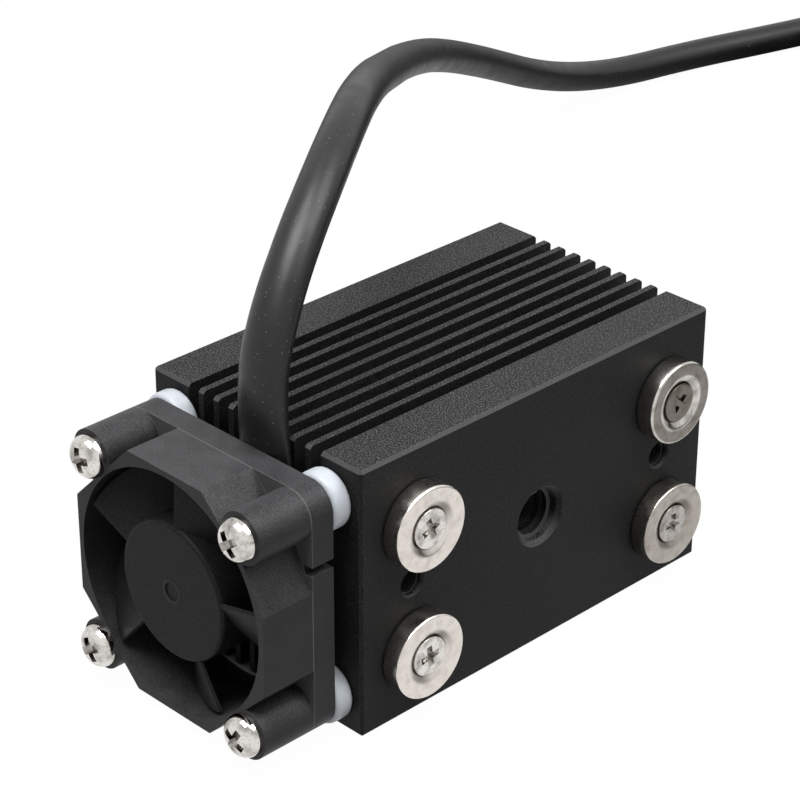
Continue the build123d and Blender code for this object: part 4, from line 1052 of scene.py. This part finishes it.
def white_floor():
    """A pale matte floor that keeps a soft shadow, stays dark under the object and isn't seen from below."""
    material = bpy.data.materials.new("white_floor")
    tree = empty_tree(material)
    matte = node(tree, "ShaderNodeBsdfDiffuse", links={"Color": (floor_grey, floor_grey, floor_grey, 1.0)})
    path = node(tree, "ShaderNodeLightPath").outputs
    seen = seen_rays(tree, path)
    place = node(tree, "ShaderNodeTexCoord").outputs["Object"]
    back = node(tree, PARTS, links={0: place}).outputs["Y"]
    dimmed = ramp(tree, back, flag_start_y, flag_end_y)
    dimmed = maths(tree, TIMES, path["Is Glossy Ray"], dimmed)
    strength = maths(tree, MINUS, floor_glow, dimmed)
    glow = node(tree, "ShaderNodeEmission", links={"Color": WHITE, "Strength": strength})
    # Under the object the floor doesn't glow: 1 outside this box, 0 from 1 mm inside
    dark_low = Vector((body_low.x, dark_floor_y, 0.0))
    dark_high = Vector((dark_floor_x, body_high.y, 0.0))
    middle = tuple((dark_low + dark_high) / 2)
    half = (dark_high - dark_low) / 2
    inward = node(tree, VECTOR, MINUS, {0: place, 1: middle}).outputs[0]
    inward = node(tree, VECTOR, UNSIGNED, {0: inward}).outputs[0]
    inward = node(tree, PARTS, links={0: inward})
    open_floor = 0.0
    for axis, reach in zip("XY", half.xy):
        clear_of = ramp(tree, inward.outputs[axis], reach - 1 * MM, reach)
        open_floor = maths(tree, LARGER, open_floor, clear_of)
    share = maths(tree, TIMES, seen, floor_glow_share)
    share = maths(tree, TIMES, share, open_floor)
    lit = node(
        tree, "ShaderNodeMixShader", links={0: share, 1: matte.outputs[0], 2: glow.outputs[0]}
    ).outputs[0]
    clear = node(tree, "ShaderNodeBsdfTransparent").outputs[0]
    below = node(tree, "ShaderNodeNewGeometry").outputs["Backfacing"]
    both = node(tree, "ShaderNodeMixShader", links={0: below, 1: lit, 2: clear}).outputs[0]
    node(tree, "ShaderNodeOutputMaterial", links={"Surface": both})
    return material


# Half the floor's width in metres
floor_half = 3.0
built = bmesh.new()
bmesh.ops.create_grid(built, x_segments=1, y_segments=1, size=floor_half)
floor_mesh = bpy.data.meshes.new("floor")
built.to_mesh(floor_mesh)
built.free()
floor_mesh.transform(Matrix.Translation((0, 0, ground_z)))
floor_mesh.materials.append(white_floor())
floor = add_object("floor", floor_mesh)
floor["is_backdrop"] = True


def studio_world():
    """White for the camera, in reflections and through glass, and a softer grey light for all else."""
    world = bpy.data.worlds.new("studio")
    tree = empty_tree(world)
    path = node(tree, "ShaderNodeLightPath").outputs
    seen = seen_rays(tree, path)
    strength = ramp(tree, seen, 0.0, 1.0, low=world_fill)
    background = node(tree, "ShaderNodeBackground", links={"Color": WHITE, "Strength": strength})
    node(tree, "ShaderNodeOutputWorld", links={"Surface": background.outputs[0]})
    return world


scene.world = studio_world()


def lamp(name, place, watts):
    """A square soft box that faces the middle of the body."""
    data = bpy.data.lights.new(name, "AREA")
    data.size = lamp_size
    data.energy = watts
    turned = (body_middle - Vector(place)).to_track_quat("-Z", "Y").to_matrix().to_4x4()
    add_object(name, data).matrix_world = Matrix.Translation(Vector(place)) @ turned


lamp("overhead", (-0.045, -0.2, 0.62), 5.0)
lamp("side", (0.24, 0.18, 0.51), 2.9)

scene.view_settings.view_transform = "Standard"

low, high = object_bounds()
